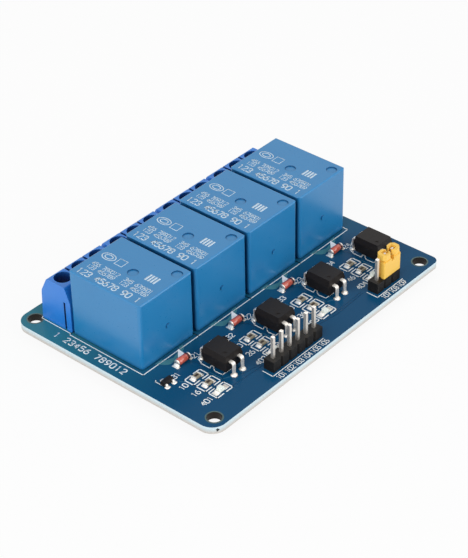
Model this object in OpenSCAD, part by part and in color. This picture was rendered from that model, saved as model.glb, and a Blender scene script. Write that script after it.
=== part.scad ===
// Relay module: a drilled board that carries a row of sealed relays, a screw terminal
// block behind each of them, and the input parts of each channel in front.
// Millimetres. Origin: middle of the board, on the surface that the lead ends stand on.
// X runs along the board, Y from the header edge to the terminal edge, Z up.

/* [Board] */
// Depth of the board in front of the relays
input_depth = 22.8; // [21.6:0.2:34]
// Board left over at each end of the row of channels
side_margin = 3.75; // [3.6:0.05:12]
// Thickness of the board
board_t = 1.6; // [1.2:0.2:2.4]
// Radius of the board's two left corners
board_corner_r = 3.2; // [2:0.2:3.4]
// Radius of the board's two right corners
board_right_corner_r = 1.6; // [1:0.2:3]
// Diameter of the four mounting holes
mount_hole_d = 3.1; // [2.6:0.1:3.4]
// Distance of the mounting holes from the short edges
mount_inset_x = 3.3; // [3:0.1:3.6]
// Distance of the mounting holes from the long edges
mount_inset_y = 2.8; // [2.6:0.1:3.2]
// How far the longest leads stand out under the board
lead_drop = 2; // [1.4:0.1:3]
// How far the cut leads of the low parts stand out under the board
short_lead_drop = 1.3; // [1.1:0.1:1.4]

/* [Channel row] */
// Gap between neighbouring relays or terminal blocks, whichever are wider
channel_gap = 0.95; // [0.9:0.05:2]
// How far the row sits off the middle of the board
row_shift = 0.5; // [0:0.1:0.8]
// Distance from the terminal edge of the board to the terminal blocks
terminal_inset = 3.55; // [3.2:0.05:4]
// Gap between a relay and the terminal block behind it
relay_gap = 0.3; // [0.2:0.1:0.7]

/* [Relay case] */
// Width of a relay along X
relay_w = 15.3; // [14.8:0.1:15.7]
// Length of a relay along Y
relay_l = 19.15; // [18.6:0.05:19.4]
// Height of a relay above the board
relay_h = 15.7; // [15.6:0.1:17]
// Wall thickness of the relay cover
relay_wall = 0.8; // [0.6:0.05:0.9]
// Radius of the cover's upright edges
cover_edge_r = 0.7; // [0.3:0.1:1.2]
// Radius round the top of the cover
cover_top_r = 0.35; // [0.2:0.05:0.6]
// Diameter of the two moulding marks in the cover's top
mark_d = 2.4; // [1.6:0.1:2.6]
// Depth of the moulding marks
mark_depth = 0.25; // [0.1:0.05:0.35]
// How far the gate mark sits in front of the cover's middle
gate_ahead = 0.8; // [0:0.1:1.5]
// Distance of the vent mark from the cover's right side
vent_inset_x = 2.5; // [1.8:0.1:4]
// Distance of the vent mark from the cover's front
vent_inset_y = 1.7; // [1.6:0.1:4]
// Diameter of the pip on the cover's front
pip_d = 0.9; // [0.6:0.1:1.4]
// How far the pip stands proud
pip_proud = 0.3; // [0.1:0.05:0.4]
// Height of the base's feet, which lift the base off the board
foot_h = 0.4; // [0.3:0.1:0.6]
// Diameter of the base's feet
foot_d = 1; // [0.8:0.05:1]
// Distance of the feet from the edges of the base
foot_inset = 0.55; // [0.5:0.05:0.6]
// Thickness of the relay's base plate
base_t = 1.4; // [1.2:0.1:1.6]

/* [Relay works] */
// Distance of the common pin from the relay's coil end
common_inset = 2.4; // [2.3:0.05:2.6]
// Distance from the common pin to the coil pins along Y
coil_pin_step = 2; // [1.8:0.1:2.1]
// Distance of the contact pins from the relay's contact end
contact_inset = 2.35; // [2.3:0.05:2.6]
// Distance of the coil and contact pins from the relay's sides
pin_inset = 1.65; // [1.6:0.05:1.8]
// Thickness of the yoke's and the armature's iron
iron_t = 1.2; // [1:0.1:1.3]
// Width of the yoke
yoke_w = 9; // [8:0.2:9.4]
// Radius of the yoke's rounded edge, on which the armature rocks
pivot_r = 0.3; // [0.2:0.05:0.4]
// Clearance between the upper contact blade and the cover's top
top_clearance = 0.35; // [0.2:0.05:0.8]
// Diameter of the coil's core
core_d = 3.8; // [3.2:0.1:4.2]
// Distance from the core to the armature when the relay is off
air_gap = 0.6; // [0.6:0.02:0.7]
// Angle that the armature swings through, in degrees
armature_swing = 4; // [3:0.1:4]
// Size of the bobbin's square flanges
flange_size = 9.6; // [9:0.1:9.7]
// Thickness of the bobbin's flanges
flange_t = 0.7; // [0.5:0.05:0.8]
// Wall of the bobbin's tube
bobbin_wall = 0.6; // [0.5:0.05:0.8]
// Outer diameter of the winding
winding_d = 9; // [8:0.1:9.2]
// Diameter of the contact buttons
contact_d = 2.6; // [2:0.1:2.8]
// Height of a contact button over its spring or blade
contact_h = 0.4; // [0.3:0.02:0.42]
// Diameter of the rivets that hold the contact spring
rivet_d = 1.2; // [1:0.1:1.4]
// How far the armature reaches past the core
armature_overhang = 1.4; // [1:0.1:1.8]
// Thickness of the moving contact spring
spring_t = 0.25; // [0.2:0.01:0.28]
// Width of the moving contact spring
spring_w = 5; // [4:0.1:6]
// Thickness of the fixed contact blades
blade_t = 0.4; // [0.3:0.02:0.42]

/* [Terminal blocks] */
// Distance from one pole to the next
pole_pitch = 5.08; // [5:0.02:5.1]
// Height of a block
block_h = 10.5; // [10.4:0.1:11.5]
// Depth of a block along Y
block_d = 8.4; // [8.2:0.05:8.6]
// Height at which a block starts to slope in towards its top
slope_h = 7; // [6.8:0.1:7.4]
// How far the front slopes in
front_slope = 1.4; // [1.2:0.05:1.5]
// How far the back slopes in
back_slope = 2; // [1.7:0.05:2.1]
// Radius of the block's long edges
block_edge_r = 0.5; // [0.3:0.05:0.6]
// Distance of the screws from the block's front face
screw_y = 4.2; // [4.15:0.05:4.25]
// Radial clearance of a screw's head in its screwdriver well
head_clearance = 0.15; // [0.1:0.01:0.2]
// Width of the slots and the rib that part or join the poles and blocks
slot_w = 0.5; // [0.3:0.05:0.6]
// Depth of the partition slots in the top
slot_depth = 1.2; // [0.8:0.1:1.6]
// How far the joining rib stands out of the block's side
rib_proud = 0.6; // [0.4:0.05:0.65]
// Width of the wire window in the back
window_w = 3.6; // [3.2:0.05:3.8]
// Height of the wire window's lower edge above the board
window_z = 0.9; // [0.8:0.05:1]
// Height of the wire window
window_h = 3.8; // [3.4:0.05:3.9]

/* [Terminal clamps] */
// Outer width of a metal cage
cage_w = 4.2; // [4.1:0.02:4.3]
// Depth of a cage along Y
cage_d = 5.2; // [4.8:0.05:5.25]
// Height of a cage's top face above the board
cage_h = 5.6; // [5.5:0.05:5.7]
// Thickness of a cage's walls and floor
cage_wall = 0.7; // [0.6:0.02:0.72]
// Thickness of a cage's threaded top
cage_top_t = 1; // [0.9:0.02:1.1]
// Gap between the cage's floor and the board
cage_lift = 0.2; // [0.15:0.05:0.3]
// Diameter of the screw's threaded shank
shank_d = 2.6; // [2.4:0.05:2.65]
// Diameter of the screw's head
head_d = 3.5; // [3.4:0.01:3.52]
// Height of the screw's head
head_h = 1.3; // [1.1:0.05:1.35]
// Width of the screwdriver slot
driver_slot_w = 0.6; // [0.5:0.05:0.8]
// Depth of the screwdriver slot
driver_slot_depth = 0.65; // [0.5:0.05:0.7]
// Thickness of the pressure leaf
leaf_t = 0.4; // [0.3:0.02:0.45]
// Distance of the leaf's ends from the mouths of the cage
leaf_inset = 0.3; // [0.2:0.05:0.5]
// Height of the turned-up ends of the pressure leaf
leaf_lip = 0.4; // [0.3:0.05:0.5]
// Radial running clearance of the screw in its thread
thread_clearance = 0.05; // [0.03:0.01:0.08]

/* [Headers and jumper] */
// Distance from one pin to the next
pin_pitch = 2.54; // [2.5:0.02:2.56]
// Side of a square pin
pin_side = 0.64; // [0.6:0.02:0.66]
// Height of the pin tops above the board
pin_top = 7.8; // [7.7:0.1:8.6]
// Height of a header body
header_h = 2.5; // [2.3:0.1:2.6]
// Depth of a header body along Y
header_d = 2.54; // [2.4:0.02:2.56]
// Chamfer between the segments of a header body
header_chamfer = 0.35; // [0.3:0.05:0.5]
// Distance of both headers' pins from the board's front edge
header_inset = 3.85; // [3.8:0.05:4.1]
// Distance of the input header's first pin from the board's left edge
input_header_x = 22; // [21.6:0.1:22.6]
// Distance of the power header's last pin from the board's right edge
power_header_x = 11.95; // [11.5:0.05:12.4]
// Width of the jumper along X
jumper_w = 5.5; // [5:0.1:5.6]
// Depth of the jumper along Y
jumper_d = 2.4; // [2.3:0.02:2.6]
// Height of the jumper's body up to its neck
jumper_body_h = 4; // [3.8:0.05:4.2]
// Overall height of the jumper
jumper_h = 5.6; // [5.5:0.05:6]
// Width of each of the two collars on the jumper's top
collar_w = 2.45; // [2.3:0.05:2.5]
// Width of the slit that opens each collar towards the other
collar_slit = 0.7; // [0.5:0.05:0.9]
// How far the neck under a collar is drawn in
neck_inset = 0.3; // [0.2:0.05:0.35]
// Height of the neck
neck_h = 0.4; // [0.3:0.05:0.6]
// Width of the notch in the body between the collars
jumper_notch_w = 0.8; // [0.5:0.05:1]
// Depth of that notch below the necks
jumper_notch_h = 0.6; // [0.4:0.05:0.7]
// Clearance of a pin in the jumper's contact metal
pin_play = 0.07; // [0.05:0.01:0.09]
// Thickness of the jumper's contact metal
jumper_metal_t = 0.2; // [0.16:0.02:0.22]
// Clearance between the contact metal and its sockets
jumper_clearance = 0.06; // [0.04:0.01:0.08]

/* [Optocouplers] */
// Width of an optocoupler body along X
opto_w = 5.1; // [4.4:0.1:5.2]
// Length of an optocoupler body along Y
opto_l = 6.4; // [6.2:0.1:6.6]
// Height of an optocoupler body
opto_h = 3.8; // [3.5:0.1:4]
// Gap between the body and the board
opto_lift = 0.6; // [0.4:0.05:0.8]
// Height of the plane of the leads above the board
opto_lead_z = 3; // [2.4:0.05:3.1]
// How far the body's sides slope in from the lead plane
opto_draft = 0.3; // [0.2:0.05:0.4]
// Distance between the two rows of leads
opto_row_span = 8.4; // [7.6:0.05:8.6]
// Thickness of the lead metal
lead_t = 0.25; // [0.2:0.01:0.3]
// Width of a lead above the board
lead_w = 1; // [0.8:0.05:1.2]
// Distance of the optocouplers in front of the relays
opto_ahead = 10.45; // [10:0.05:11]
// Distance of the optocouplers to the right of the channel's middle
opto_shift = 4.2; // [3.9:0.05:4.3]

/* [Surface parts] */
// Length of a resistor or lamp chip along X
chip_l = 2; // [1.8:0.05:2.2]
// Width of a chip along Y
chip_w = 1.25; // [1.1:0.05:1.4]
// Height of a resistor chip
chip_h = 0.55; // [0.45:0.05:0.65]
// Length of a chip's metal ends
chip_end = 0.4; // [0.3:0.05:0.5]
// Height of a lamp chip's lens
lens_h = 0.8; // [0.7:0.05:1]
// Distance from one chip to the next along Y
chip_pitch = 3.1; // [2.9:0.05:3.2]
// Distance of the first chip in front of the relays
chip_ahead = 9.35; // [9:0.05:9.6]
// Distance of the chips to the left of the channel's middle
chip_shift = 2.2; // [2:0.05:2.3]
// Length of a diode
diode_l = 3.5; // [3.3:0.05:3.6]
// Diameter of a diode
diode_d = 1.5; // [1.3:0.05:1.6]
// Length of a diode's metal caps
diode_cap = 0.5; // [0.4:0.05:0.6]
// Distance of the diodes in front of the relays
diode_ahead = 4.1; // [3.9:0.05:4.2]
// Distance of the diodes to the left of the channel's middle
diode_shift = 0.4; // [0.2:0.05:0.6]
// Length of a transistor body along X
transistor_l = 2.9; // [2.7:0.05:3.1]
// Width of a transistor body along Y
transistor_w = 1.3; // [1.2:0.05:1.5]
// Height of a transistor body
transistor_h = 1; // [0.9:0.05:1.2]
// Distance of a transistor's front leads from its middle
transistor_lead_x = 0.95; // [0.9:0.01:1]
// Width of a transistor's leads
transistor_lead_w = 0.42; // [0.36:0.02:0.5]
// Length of a transistor's feet
transistor_foot = 0.6; // [0.5:0.05:0.7]
// Thickness of a transistor's lead metal
transistor_lead_t = 0.12; // [0.1:0.01:0.15]
// Distance of the transistors in front of the relays
transistor_ahead = 6.1; // [5.9:0.05:6.3]
// Distance of the transistors to the left of the channel's middle
transistor_shift = 7.2; // [6.9:0.05:7.3]

/* [Solder] */
// Clearance of a lead in its hole in the board
hole_clearance = 0.1; // [0.06:0.01:0.14]
// Width of the solder ring round a lead
solder_ring = 0.45; // [0.3:0.05:0.5]
// How far the solder reaches beyond the ends of the surface parts
fillet_reach = 0.9; // [0.5:0.05:0.95]
// Height of a solder cone under the board
solder_h = 0.9; // [0.6:0.05:1]

/* [Hidden] */
$fn = 32;
// Small overrun that keeps a cut from ending on a face
eps = 0.01;
// Channels on the board, and poles of a terminal block
channels = 4;
poles = 3;
// Pins of the two headers
input_pins = 6;
power_pins = 3;
channel_list = [1 : channels];
terminal_list = [1 : channels * poles];
// Segments of a rounded corner in a drawn outline
arc_steps = 6;

// Sizes of the board, and places along it measured from its front left corner
block_w = poles * pole_pitch;
channel_pitch = max(relay_w, block_w) + channel_gap;
board_l = channels * channel_pitch + 2 * side_margin;
board_w = input_depth + relay_l + relay_gap + block_d + terminal_inset;
terminal_y = board_w - terminal_inset - block_d;
relay_back_y = terminal_y - relay_gap;
relay_front_y = relay_back_y - relay_l;
relay_mid_y = relay_back_y - relay_l / 2;
opto_y = relay_front_y - opto_ahead;
function channel_x(i) = board_l / 2 + row_shift + (i - (channels + 1) / 2) * channel_pitch;

// Clearance between parts of a relay that are pressed or glued together
seat = 0.05;
// Heights inside a relay, above the board: the hinge edge lies under the stack of armature,
// contact spring, buttons and upper blade
base_top = foot_h + base_t;
yoke_floor = base_top + iron_t;
cover_inside_h = relay_h - relay_wall;
contact_stack = iron_t + spring_t + contact_h * 1.5 + blade_t + 2 * seat;
hinge_h = cover_inside_h - top_clearance - contact_stack;
core_top = hinge_h - air_gap;
// Places inside a relay, from its middle
pin_half_span = relay_w / 2 - pin_inset;
common_y = -relay_l / 2 + common_inset;
coil_pin_y = common_y + coil_pin_step;
contact_y = relay_l / 2 - contact_inset;
hinge_y = common_y + iron_t / 2;
pivot = [hinge_y - pivot_r, hinge_h - pivot_r];
core_y = hinge_y + seat + flange_size / 2;
bobbin_h = core_top - air_gap / 2 - yoke_floor;
armature_z = hinge_h + seat;
spring_z = armature_z + iron_t;
spring_end = contact_y + contact_d / 2 - 4 * seat;
armature_end = core_y + core_d / 2 + armature_overhang;
// Contact heights: the upper blade rests on the moving button, the lower one waits below its swing
button_top = spring_z + spring_t + contact_h;
button_bottom = spring_z - contact_h;
upper_blade_z = button_top + seat + contact_h / 2;
contact_reach = contact_y - pivot.x;
button_drop = contact_reach * tan(armature_swing) + contact_d / 2 * sin(armature_swing);
lower_blade_top = button_bottom - button_drop - seat - contact_h / 2;

// Heights of a clamp, above the board
cage_floor_top = cage_lift + cage_wall;
cage_ceiling = cage_h - cage_top_t;
leaf_top = cage_floor_top + leaf_t;
leaf_w = cage_w - 2 * cage_wall - 4 * thread_clearance;
leaf_l = cage_d - 2 * leaf_inset;
head_z = cage_h + head_clearance;
well_d = head_d + 2 * head_clearance;

// Sizes that follow from the pins
socket_side = pin_side + 2 * (pin_play + jumper_metal_t + jumper_clearance);

// Leads as [width along X, width along Y]
relay_lead = [1, 0.6];
cage_lead = [0.9, 0.9];
header_lead = [pin_side, pin_side];
opto_lead = [0.5, lead_t];

// Lead places on the board: relay pins, clamp pins, header pins, optocoupler leads
relay_pin_spots = [
    [0, common_y], [-pin_half_span, coil_pin_y], [pin_half_span, coil_pin_y],
    [-pin_half_span, contact_y], [pin_half_span, contact_y]
];
relay_spots = [for (i = channel_list, p = relay_pin_spots) [channel_x(i), relay_mid_y] + p];
cage_spots = [for (i = channel_list, k = [0 : poles - 1]) [pole_x(i, k), terminal_y + screw_y]];
input_spots = [for (k = [0 : input_pins - 1]) [input_header_x + k * pin_pitch, header_inset]];
power_spots = [
    for (k = [0 : power_pins - 1])
        [board_l - power_header_x - (power_pins - 1 - k) * pin_pitch, header_inset]
];
opto_spots = [
    for (i = channel_list, sx = [-1, 1], sy = [-1, 1])
        [channel_x(i) + opto_shift + sx * pin_pitch / 2, opto_y + sy * opto_row_span / 2]
];
function pole_x(i, k) = channel_x(i) + (k - (poles - 1) / 2) * pole_pitch;

// ---------------------------------------------------------------- helpers

// Moves children from board coordinates (corner of the top face) to the part's own frame
module on_board()
    translate([-board_l / 2, -board_w / 2, lead_drop + board_t]) children();

// Rectangle with true round corners, centred
module rounded_rect(size, r) {
    square([size.x - 2 * r, size.y], center = true);
    square([size.x, size.y - 2 * r], center = true);
    for (sx = [-1, 1], sy = [-1, 1])
        translate([sx * (size.x / 2 - r), sy * (size.y / 2 - r)]) circle(r);
}

// Block with round upright edges and a rounded top, standing on z = 0
module moulded_block(size, edge_r, top_r) {
    intersection() {
        linear_extrude(size.z) rounded_rect([size.x, size.y], edge_r);
        translate([0, size.y / 2, size.z / 2]) rotate([90, 0, 0])
            linear_extrude(size.y) round_top([size.x, size.z], top_r);
        translate([size.x / 2, 0, size.z / 2]) rotate([90, 0, -90])
            linear_extrude(size.x) round_top([size.y, size.z], top_r);
    }
}

// Centred rectangle whose two upper corners are round
module round_top(size, r) {
    translate([-size.x / 2, -size.y / 2]) square([size.x, size.y - r]);
    translate([-size.x / 2 + r, -size.y / 2]) square([size.x - 2 * r, size.y]);
    for (sx = [-1, 1]) translate([sx * (size.x / 2 - r), size.y / 2 - r]) circle(r);
}

// Box centred in X and Y, from z0 to z1
module post(size, z0, z1)
    translate([-size.x / 2, -size.y / 2, z0]) cube([size.x, size.y, z1 - z0]);

// A lead's round hole through the board
function hole_r(lead) = norm(lead) / 2 + hole_clearance;

// Outline with rounded corners, given as [x, y, radius]
function rounded_outline(corners) = [
    for (i = [0 : len(corners) - 1])
        each corner_arc(corners[(i + len(corners) - 1) % len(corners)], corners[i],
            corners[(i + 1) % len(corners)])
];
function flat(p) = [p.x, p.y];
function unit(v) = v / norm(v);
function corner_arc(before, corner, after) =
    let (
        u = unit(flat(before) - flat(corner)),
        v = unit(flat(after) - flat(corner)),
        half = acos(u * v) / 2,
        reach = corner[2] / tan(half),
        centre = flat(corner) + unit(u + v) * corner[2] / sin(half),
        from = flat(corner) + u * reach - centre,
        to = flat(corner) + v * reach - centre,
        a0 = atan2(from.y, from.x),
        swing = atan2(from.x * to.y - from.y * to.x, from * to)
    )
    corner[2] == 0 ? [flat(corner)]
    : [for (s = [0 : arc_steps]) let (a = a0 + swing * s / arc_steps) centre + corner[2] * [cos(a), sin(a)]];

// Extrudes an outline drawn in Y and Z along X, centred on x = 0
module along_x(width)
    translate([-width / 2, 0, 0]) rotate([90, 0, 90]) linear_extrude(width) children();

// ---------------------------------------------------------------- board

// Centred outline, rounder at the left corners than at the right ones
module board_outline() {
    l = board_l / 2;
    w = board_w / 2;
    translate([-l + board_corner_r, -w])
        square([board_l - board_corner_r - board_right_corner_r, board_w]);
    translate([-l, -w + board_corner_r]) square([l, board_w - 2 * board_corner_r]);
    translate([0, -w + board_right_corner_r]) square([l, board_w - 2 * board_right_corner_r]);
    for (sy = [-1, 1]) {
        translate([-l + board_corner_r, sy * (w - board_corner_r)]) circle(board_corner_r);
        translate([l - board_right_corner_r, sy * (w - board_right_corner_r)])
            circle(board_right_corner_r);
    }
}

module circuit_board() {
    color("#0f4a7c") on_board() difference() {
        translate([board_l / 2, board_w / 2, -board_t])
            linear_extrude(board_t) board_outline();
        for (sx = [-1, 1], sy = [-1, 1])
            translate([
                board_l / 2 + sx * (board_l / 2 - mount_inset_x),
                board_w / 2 + sy * (board_w / 2 - mount_inset_y),
                -board_t - eps
            ]) cylinder(d = mount_hole_d, h = board_t + 2 * eps);
        lead_holes(relay_spots, relay_lead);
        lead_holes(cage_spots, cage_lead);
        lead_holes(concat(input_spots, power_spots), header_lead);
        lead_holes(opto_spots, opto_lead);
    }
}

module lead_holes(spots, lead)
    for (p = spots)
        translate([p.x, p.y, -board_t - eps]) cylinder(r = hole_r(lead), h = board_t + 2 * eps, $fn = 16);

// ---------------------------------------------------------------- relays

module at_relay(i)
    on_board() translate([channel_x(i), relay_mid_y, 0]) children();

module relay_cover(i) {
    inside = [relay_w - 2 * relay_wall, relay_l - 2 * relay_wall];
    color("#3f86c8") at_relay(i) {
        difference() {
            moulded_block([relay_w, relay_l, relay_h], cover_edge_r, cover_top_r);
            translate([0, 0, -eps])
                linear_extrude(cover_inside_h + eps) rounded_rect(inside, cover_edge_r / 2);
            // Lifted lower edge, so that the cover clears the solder on the board
            post([relay_w + 1, relay_l + 1], -1, foot_h / 2);
            // Gate mark in the middle and vent mark near the front corner
            for (p = [[0, -gate_ahead], [relay_w / 2 - vent_inset_x, vent_inset_y - relay_l / 2]])
                translate([p.x, p.y, relay_h - mark_depth]) cylinder(d = mark_d, h = 1);
        }
        // Moulding pip in the middle of the front
        translate([0, -relay_l / 2 + eps, relay_h * 0.44]) rotate([90, 0, 0])
            cylinder(d = pip_d, h = pip_proud + eps);
    }
}

// Base plates with stand-off feet and slots for the pins
module relay_bases() {
    size = [relay_w - 2 * relay_wall - 2 * seat, relay_l - 2 * relay_wall - 2 * seat];
    foot_x = size.x / 2 - foot_inset;
    foot_y = size.y / 2 - foot_inset;
    color("#2b4f86") for (i = channel_list) at_relay(i) difference() {
        union() {
            translate([0, 0, foot_h])
                linear_extrude(base_t) rounded_rect(size, cover_edge_r / 2);
            for (sx = [-1, 1], sy = [-1, 1])
                translate([sx * foot_x, sy * foot_y, 0]) cylinder(d = foot_d, h = foot_h + eps, $fn = 16);
        }
        for (p = relay_pin_spots)
            translate([p.x, p.y, 0]) post(relay_lead + [2, 2] * seat, foot_h - eps, base_top + eps);
    }
}

// Bobbins: two square flanges joined by a tube that fits over the core
module relay_bobbins() {
    flange = [flange_size, flange_size];
    color("#e8e4d8") for (i = channel_list) at_relay(i) translate([0, core_y, yoke_floor]) difference() {
        union() {
            for (z = [0, bobbin_h - flange_t])
                translate([0, 0, z]) linear_extrude(flange_t) rounded_rect(flange, 1);
            cylinder(d = core_d + 2 * seat + 2 * bobbin_wall, h = bobbin_h);
        }
        translate([0, 0, -eps]) cylinder(d = core_d + 2 * seat, h = bobbin_h + 2 * eps);
    }
}

// Enamelled wire windings, each one a sleeve between the flanges
module relay_windings() {
    tube_d = core_d + 2 * seat + 2 * bobbin_wall;
    color("#a4552a") for (i = channel_list) at_relay(i)
        translate([0, core_y, yoke_floor + flange_t]) difference() {
            cylinder(d = winding_d, h = bobbin_h - 2 * flange_t);
            translate([0, 0, -eps]) cylinder(d = tube_d, h = bobbin_h);
        }
}

// Yokes: a bent iron angle with the coil's core staked into its foot
module relay_yokes() {
    foot_end = core_y + core_d / 2 + 1;
    color("#b9bcc0") for (i = channel_list) at_relay(i) {
        along_x(yoke_w) {
            polygon([
                [hinge_y - iron_t, base_top], [foot_end, base_top], [foot_end, yoke_floor],
                [hinge_y, yoke_floor], [hinge_y, pivot.y], [pivot.x, hinge_h], [hinge_y - iron_t, hinge_h]
            ]);
            translate(pivot) circle(pivot_r);
        }
        translate([0, core_y, yoke_floor - eps]) cylinder(d = core_d, h = core_top - yoke_floor + eps);
    }
}

// Pins of the relays, and the fixed contact blades that two of them carry
module relay_contacts() {
    color("#c9c2b0") for (i = channel_list) at_relay(i) {
        post_at(relay_pin_spots[0], relay_lead, base_top);
        for (k = [1, 2]) post_at(relay_pin_spots[k], relay_lead, base_top + 1.2);
        contact_blade(-1, upper_blade_z, -1);
        contact_blade(1, lower_blade_top - blade_t, 1);
    }
}

module post_at(p, size, top)
    translate([p.x, p.y, 0]) post(size, -board_t - lead_drop, top);

// An upright blade on one side whose arm reaches over the middle, with a button facing the spring
module contact_blade(side, arm_z, button_side) {
    arm_l = pin_half_span + contact_d / 2;
    translate([side * pin_half_span, contact_y, 0]) {
        post(relay_lead, -board_t - lead_drop, base_top);
        post([blade_t, contact_d], base_top, arm_z + blade_t);
    }
    translate([side * (pin_half_span - arm_l / 2), contact_y, 0])
        post([arm_l, contact_d], arm_z, arm_z + blade_t);
    translate([0, contact_y, arm_z + (button_side > 0 ? blade_t : -contact_h / 2)])
        cylinder(d = contact_d, h = contact_h / 2);
}

// The armature plate with the moving contact spring riveted on it
module relay_armature(i) {
    tail = hinge_y - iron_t;
    plate_l = armature_end - tail;
    color("#d2cdc0") at_relay(i) {
        translate([0, tail + plate_l / 2, 0]) post([yoke_w, plate_l], armature_z, armature_z + iron_t);
        translate([0, (tail + spring_end) / 2, 0])
            post([spring_w, spring_end - tail], spring_z, spring_z + spring_t);
        // Two rivet heads hold the spring, and one button serves both fixed contacts
        for (sx = [-1, 1])
            translate([sx * spring_w / 4, core_y, spring_z])
                cylinder(d = rivet_d, h = spring_t + blade_t / 2, $fn = 16);
        translate([0, contact_y, button_bottom]) cylinder(d = contact_d, h = button_top - button_bottom);
    }
}

// ---------------------------------------------------------------- terminal blocks

module at_block(i)
    on_board() translate([channel_x(i), terminal_y, 0]) children();

module at_pole(t) {
    i = floor((t - 1) / poles) + 1;
    on_board() translate([pole_x(i, (t - 1) % poles), terminal_y + screw_y, 0]) children();
}

block_outline = [
    [0, 0, 0], [block_d, 0, 0], [block_d - 0.3, slope_h, 2.5], [block_d - back_slope, block_h, block_edge_r],
    [front_slope, block_h, block_edge_r], [0, slope_h, block_edge_r]
];

module terminal_housing(i) {
    color("#3c7de0") at_block(i) difference() {
        union() {
            along_x(block_w) polygon(rounded_outline(block_outline));
            // Joining rib on the right side
            translate([block_w / 2 - eps, front_slope, 0]) rib();
        }
        // Matching groove on the left side
        translate([-block_w / 2, front_slope + slot_w / 2, (slope_h - 0.2) / 2 - eps])
            cube([2 * rib_proud, slot_w, slope_h - 0.2], center = true);
        for (k = [1 : poles - 1])
            translate([-block_w / 2 + k * pole_pitch, block_d / 2, block_h])
                cube([slot_w, 2 * block_d, 2 * slot_depth], center = true);
        for (k = [0 : poles - 1]) translate([(k - (poles - 1) / 2) * pole_pitch, screw_y, 0]) pole_cavity();
    }
}

// Dovetail rib that hooks into the next block's groove
module rib()
    linear_extrude(slope_h - 0.2) polygon([
        [0, slot_w * 0.2], [rib_proud, 0], [rib_proud, slot_w], [0, slot_w * 0.8]
    ]);

// Room for one clamp: screwdriver well, cage chamber open to the board, and wire window
module pole_cavity() {
    chamber = [cage_w, cage_d] + [2, 2] * 0.05;
    translate([0, 0, cage_h]) cylinder(d = well_d, h = block_h);
    translate([0, 0, 0]) post(chamber, -eps, cage_h + 0.1);
    translate([-window_w / 2, 0, window_z]) cube([window_w, block_d, window_h]);
}

// Metal cages: a bent frame open to the wire, with a threaded top and a solder pin
module terminal_cages() {
    color("#c7c9cc") for (t = terminal_list) at_pole(t) difference() {
        union() {
            difference() {
                post([cage_w, cage_d], cage_lift, cage_h);
                post([cage_w - 2 * cage_wall, cage_d + 1], cage_floor_top, cage_ceiling);
            }
            post(cage_lead, -board_t - lead_drop, cage_lift + eps);
        }
        translate([0, 0, cage_ceiling - eps])
            cylinder(d = shank_d + 2 * thread_clearance, h = cage_top_t + 2 * eps);
    }
}

// Pressure leaf between the screw and the wire, with its ends turned up
module terminal_leaf(t) {
    e = leaf_l / 2;
    color("#d9dadb") at_pole(t) along_x(leaf_w) polygon([
        [-e, cage_floor_top + leaf_lip], [-e + leaf_lip, cage_floor_top],
        [e - leaf_lip, cage_floor_top], [e, cage_floor_top + leaf_lip],
        [e, leaf_top + leaf_lip], [e - leaf_lip * 0.9 - leaf_t / 2, leaf_top],
        [-e + leaf_lip * 0.9 + leaf_t / 2, leaf_top], [-e, leaf_top + leaf_lip]
    ]);
}

// Clamp screw: slotted head, shank and a chamfered tip that presses on the leaf
module terminal_screw(t) {
    r = shank_d / 2;
    tip = 0.3;
    color("#dfe1e3") at_pole(t) difference() {
        rotate_extrude($fn = 48) polygon([
            [0, leaf_top], [r - tip, leaf_top], [r, leaf_top + tip], [r, head_z],
            [head_d / 2, head_z], [head_d / 2, head_z + head_h - tip / 2],
            [head_d / 2 - tip / 2, head_z + head_h], [0, head_z + head_h]
        ]);
        translate([0, 0, head_z + head_h])
            cube([head_d + 1, driver_slot_w, 2 * driver_slot_depth], center = true);
    }
}

// ---------------------------------------------------------------- headers and jumper

// Body of a pin header: one chamfered segment for each pin
module header_body(spots) {
    n = len(spots);
    low = spots[0] - [pin_pitch, header_d] / 2;
    color("#1b1b1d") on_board() difference() {
        translate([low.x, low.y, 0]) linear_extrude(header_h) difference() {
            square([n * pin_pitch, header_d]);
            // Notches at which the strip snaps apart
            for (k = [1 : n - 1], y = [0, header_d])
                translate([k * pin_pitch, y]) rotate(45) square(header_chamfer * sqrt(2), center = true);
        }
        for (p = spots) translate([p.x, p.y, 0]) post(header_lead, -eps, header_h + eps);
    }
}

// Square pins with chamfered tips at both ends
module header_pins(spots) {
    low = -board_t - short_lead_drop;
    tip = pin_side / 3;
    color("#d8d9dc") on_board() for (p = spots) translate([p.x, p.y, 0]) intersection() {
        post(header_lead, low, pin_top);
        along_x(pin_side) pin_outline(low, tip);
        rotate([0, 0, 90]) along_x(pin_side) pin_outline(low, tip);
    }
}

module pin_outline(low, tip) {
    r = pin_side / 2;
    polygon([
        [-r, low + tip], [-r + tip / 2, low], [r - tip / 2, low], [r, low + tip],
        [r, pin_top - tip], [r - tip / 2, pin_top], [-r + tip / 2, pin_top], [-r, pin_top - tip]
    ]);
}

// The jumper joins the last two pins of the power header
jumper_x = board_l - power_header_x - pin_pitch / 2;
jumper_z = header_h;
module at_jumper()
    on_board() translate([jumper_x, header_inset, jumper_z]) children();

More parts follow.
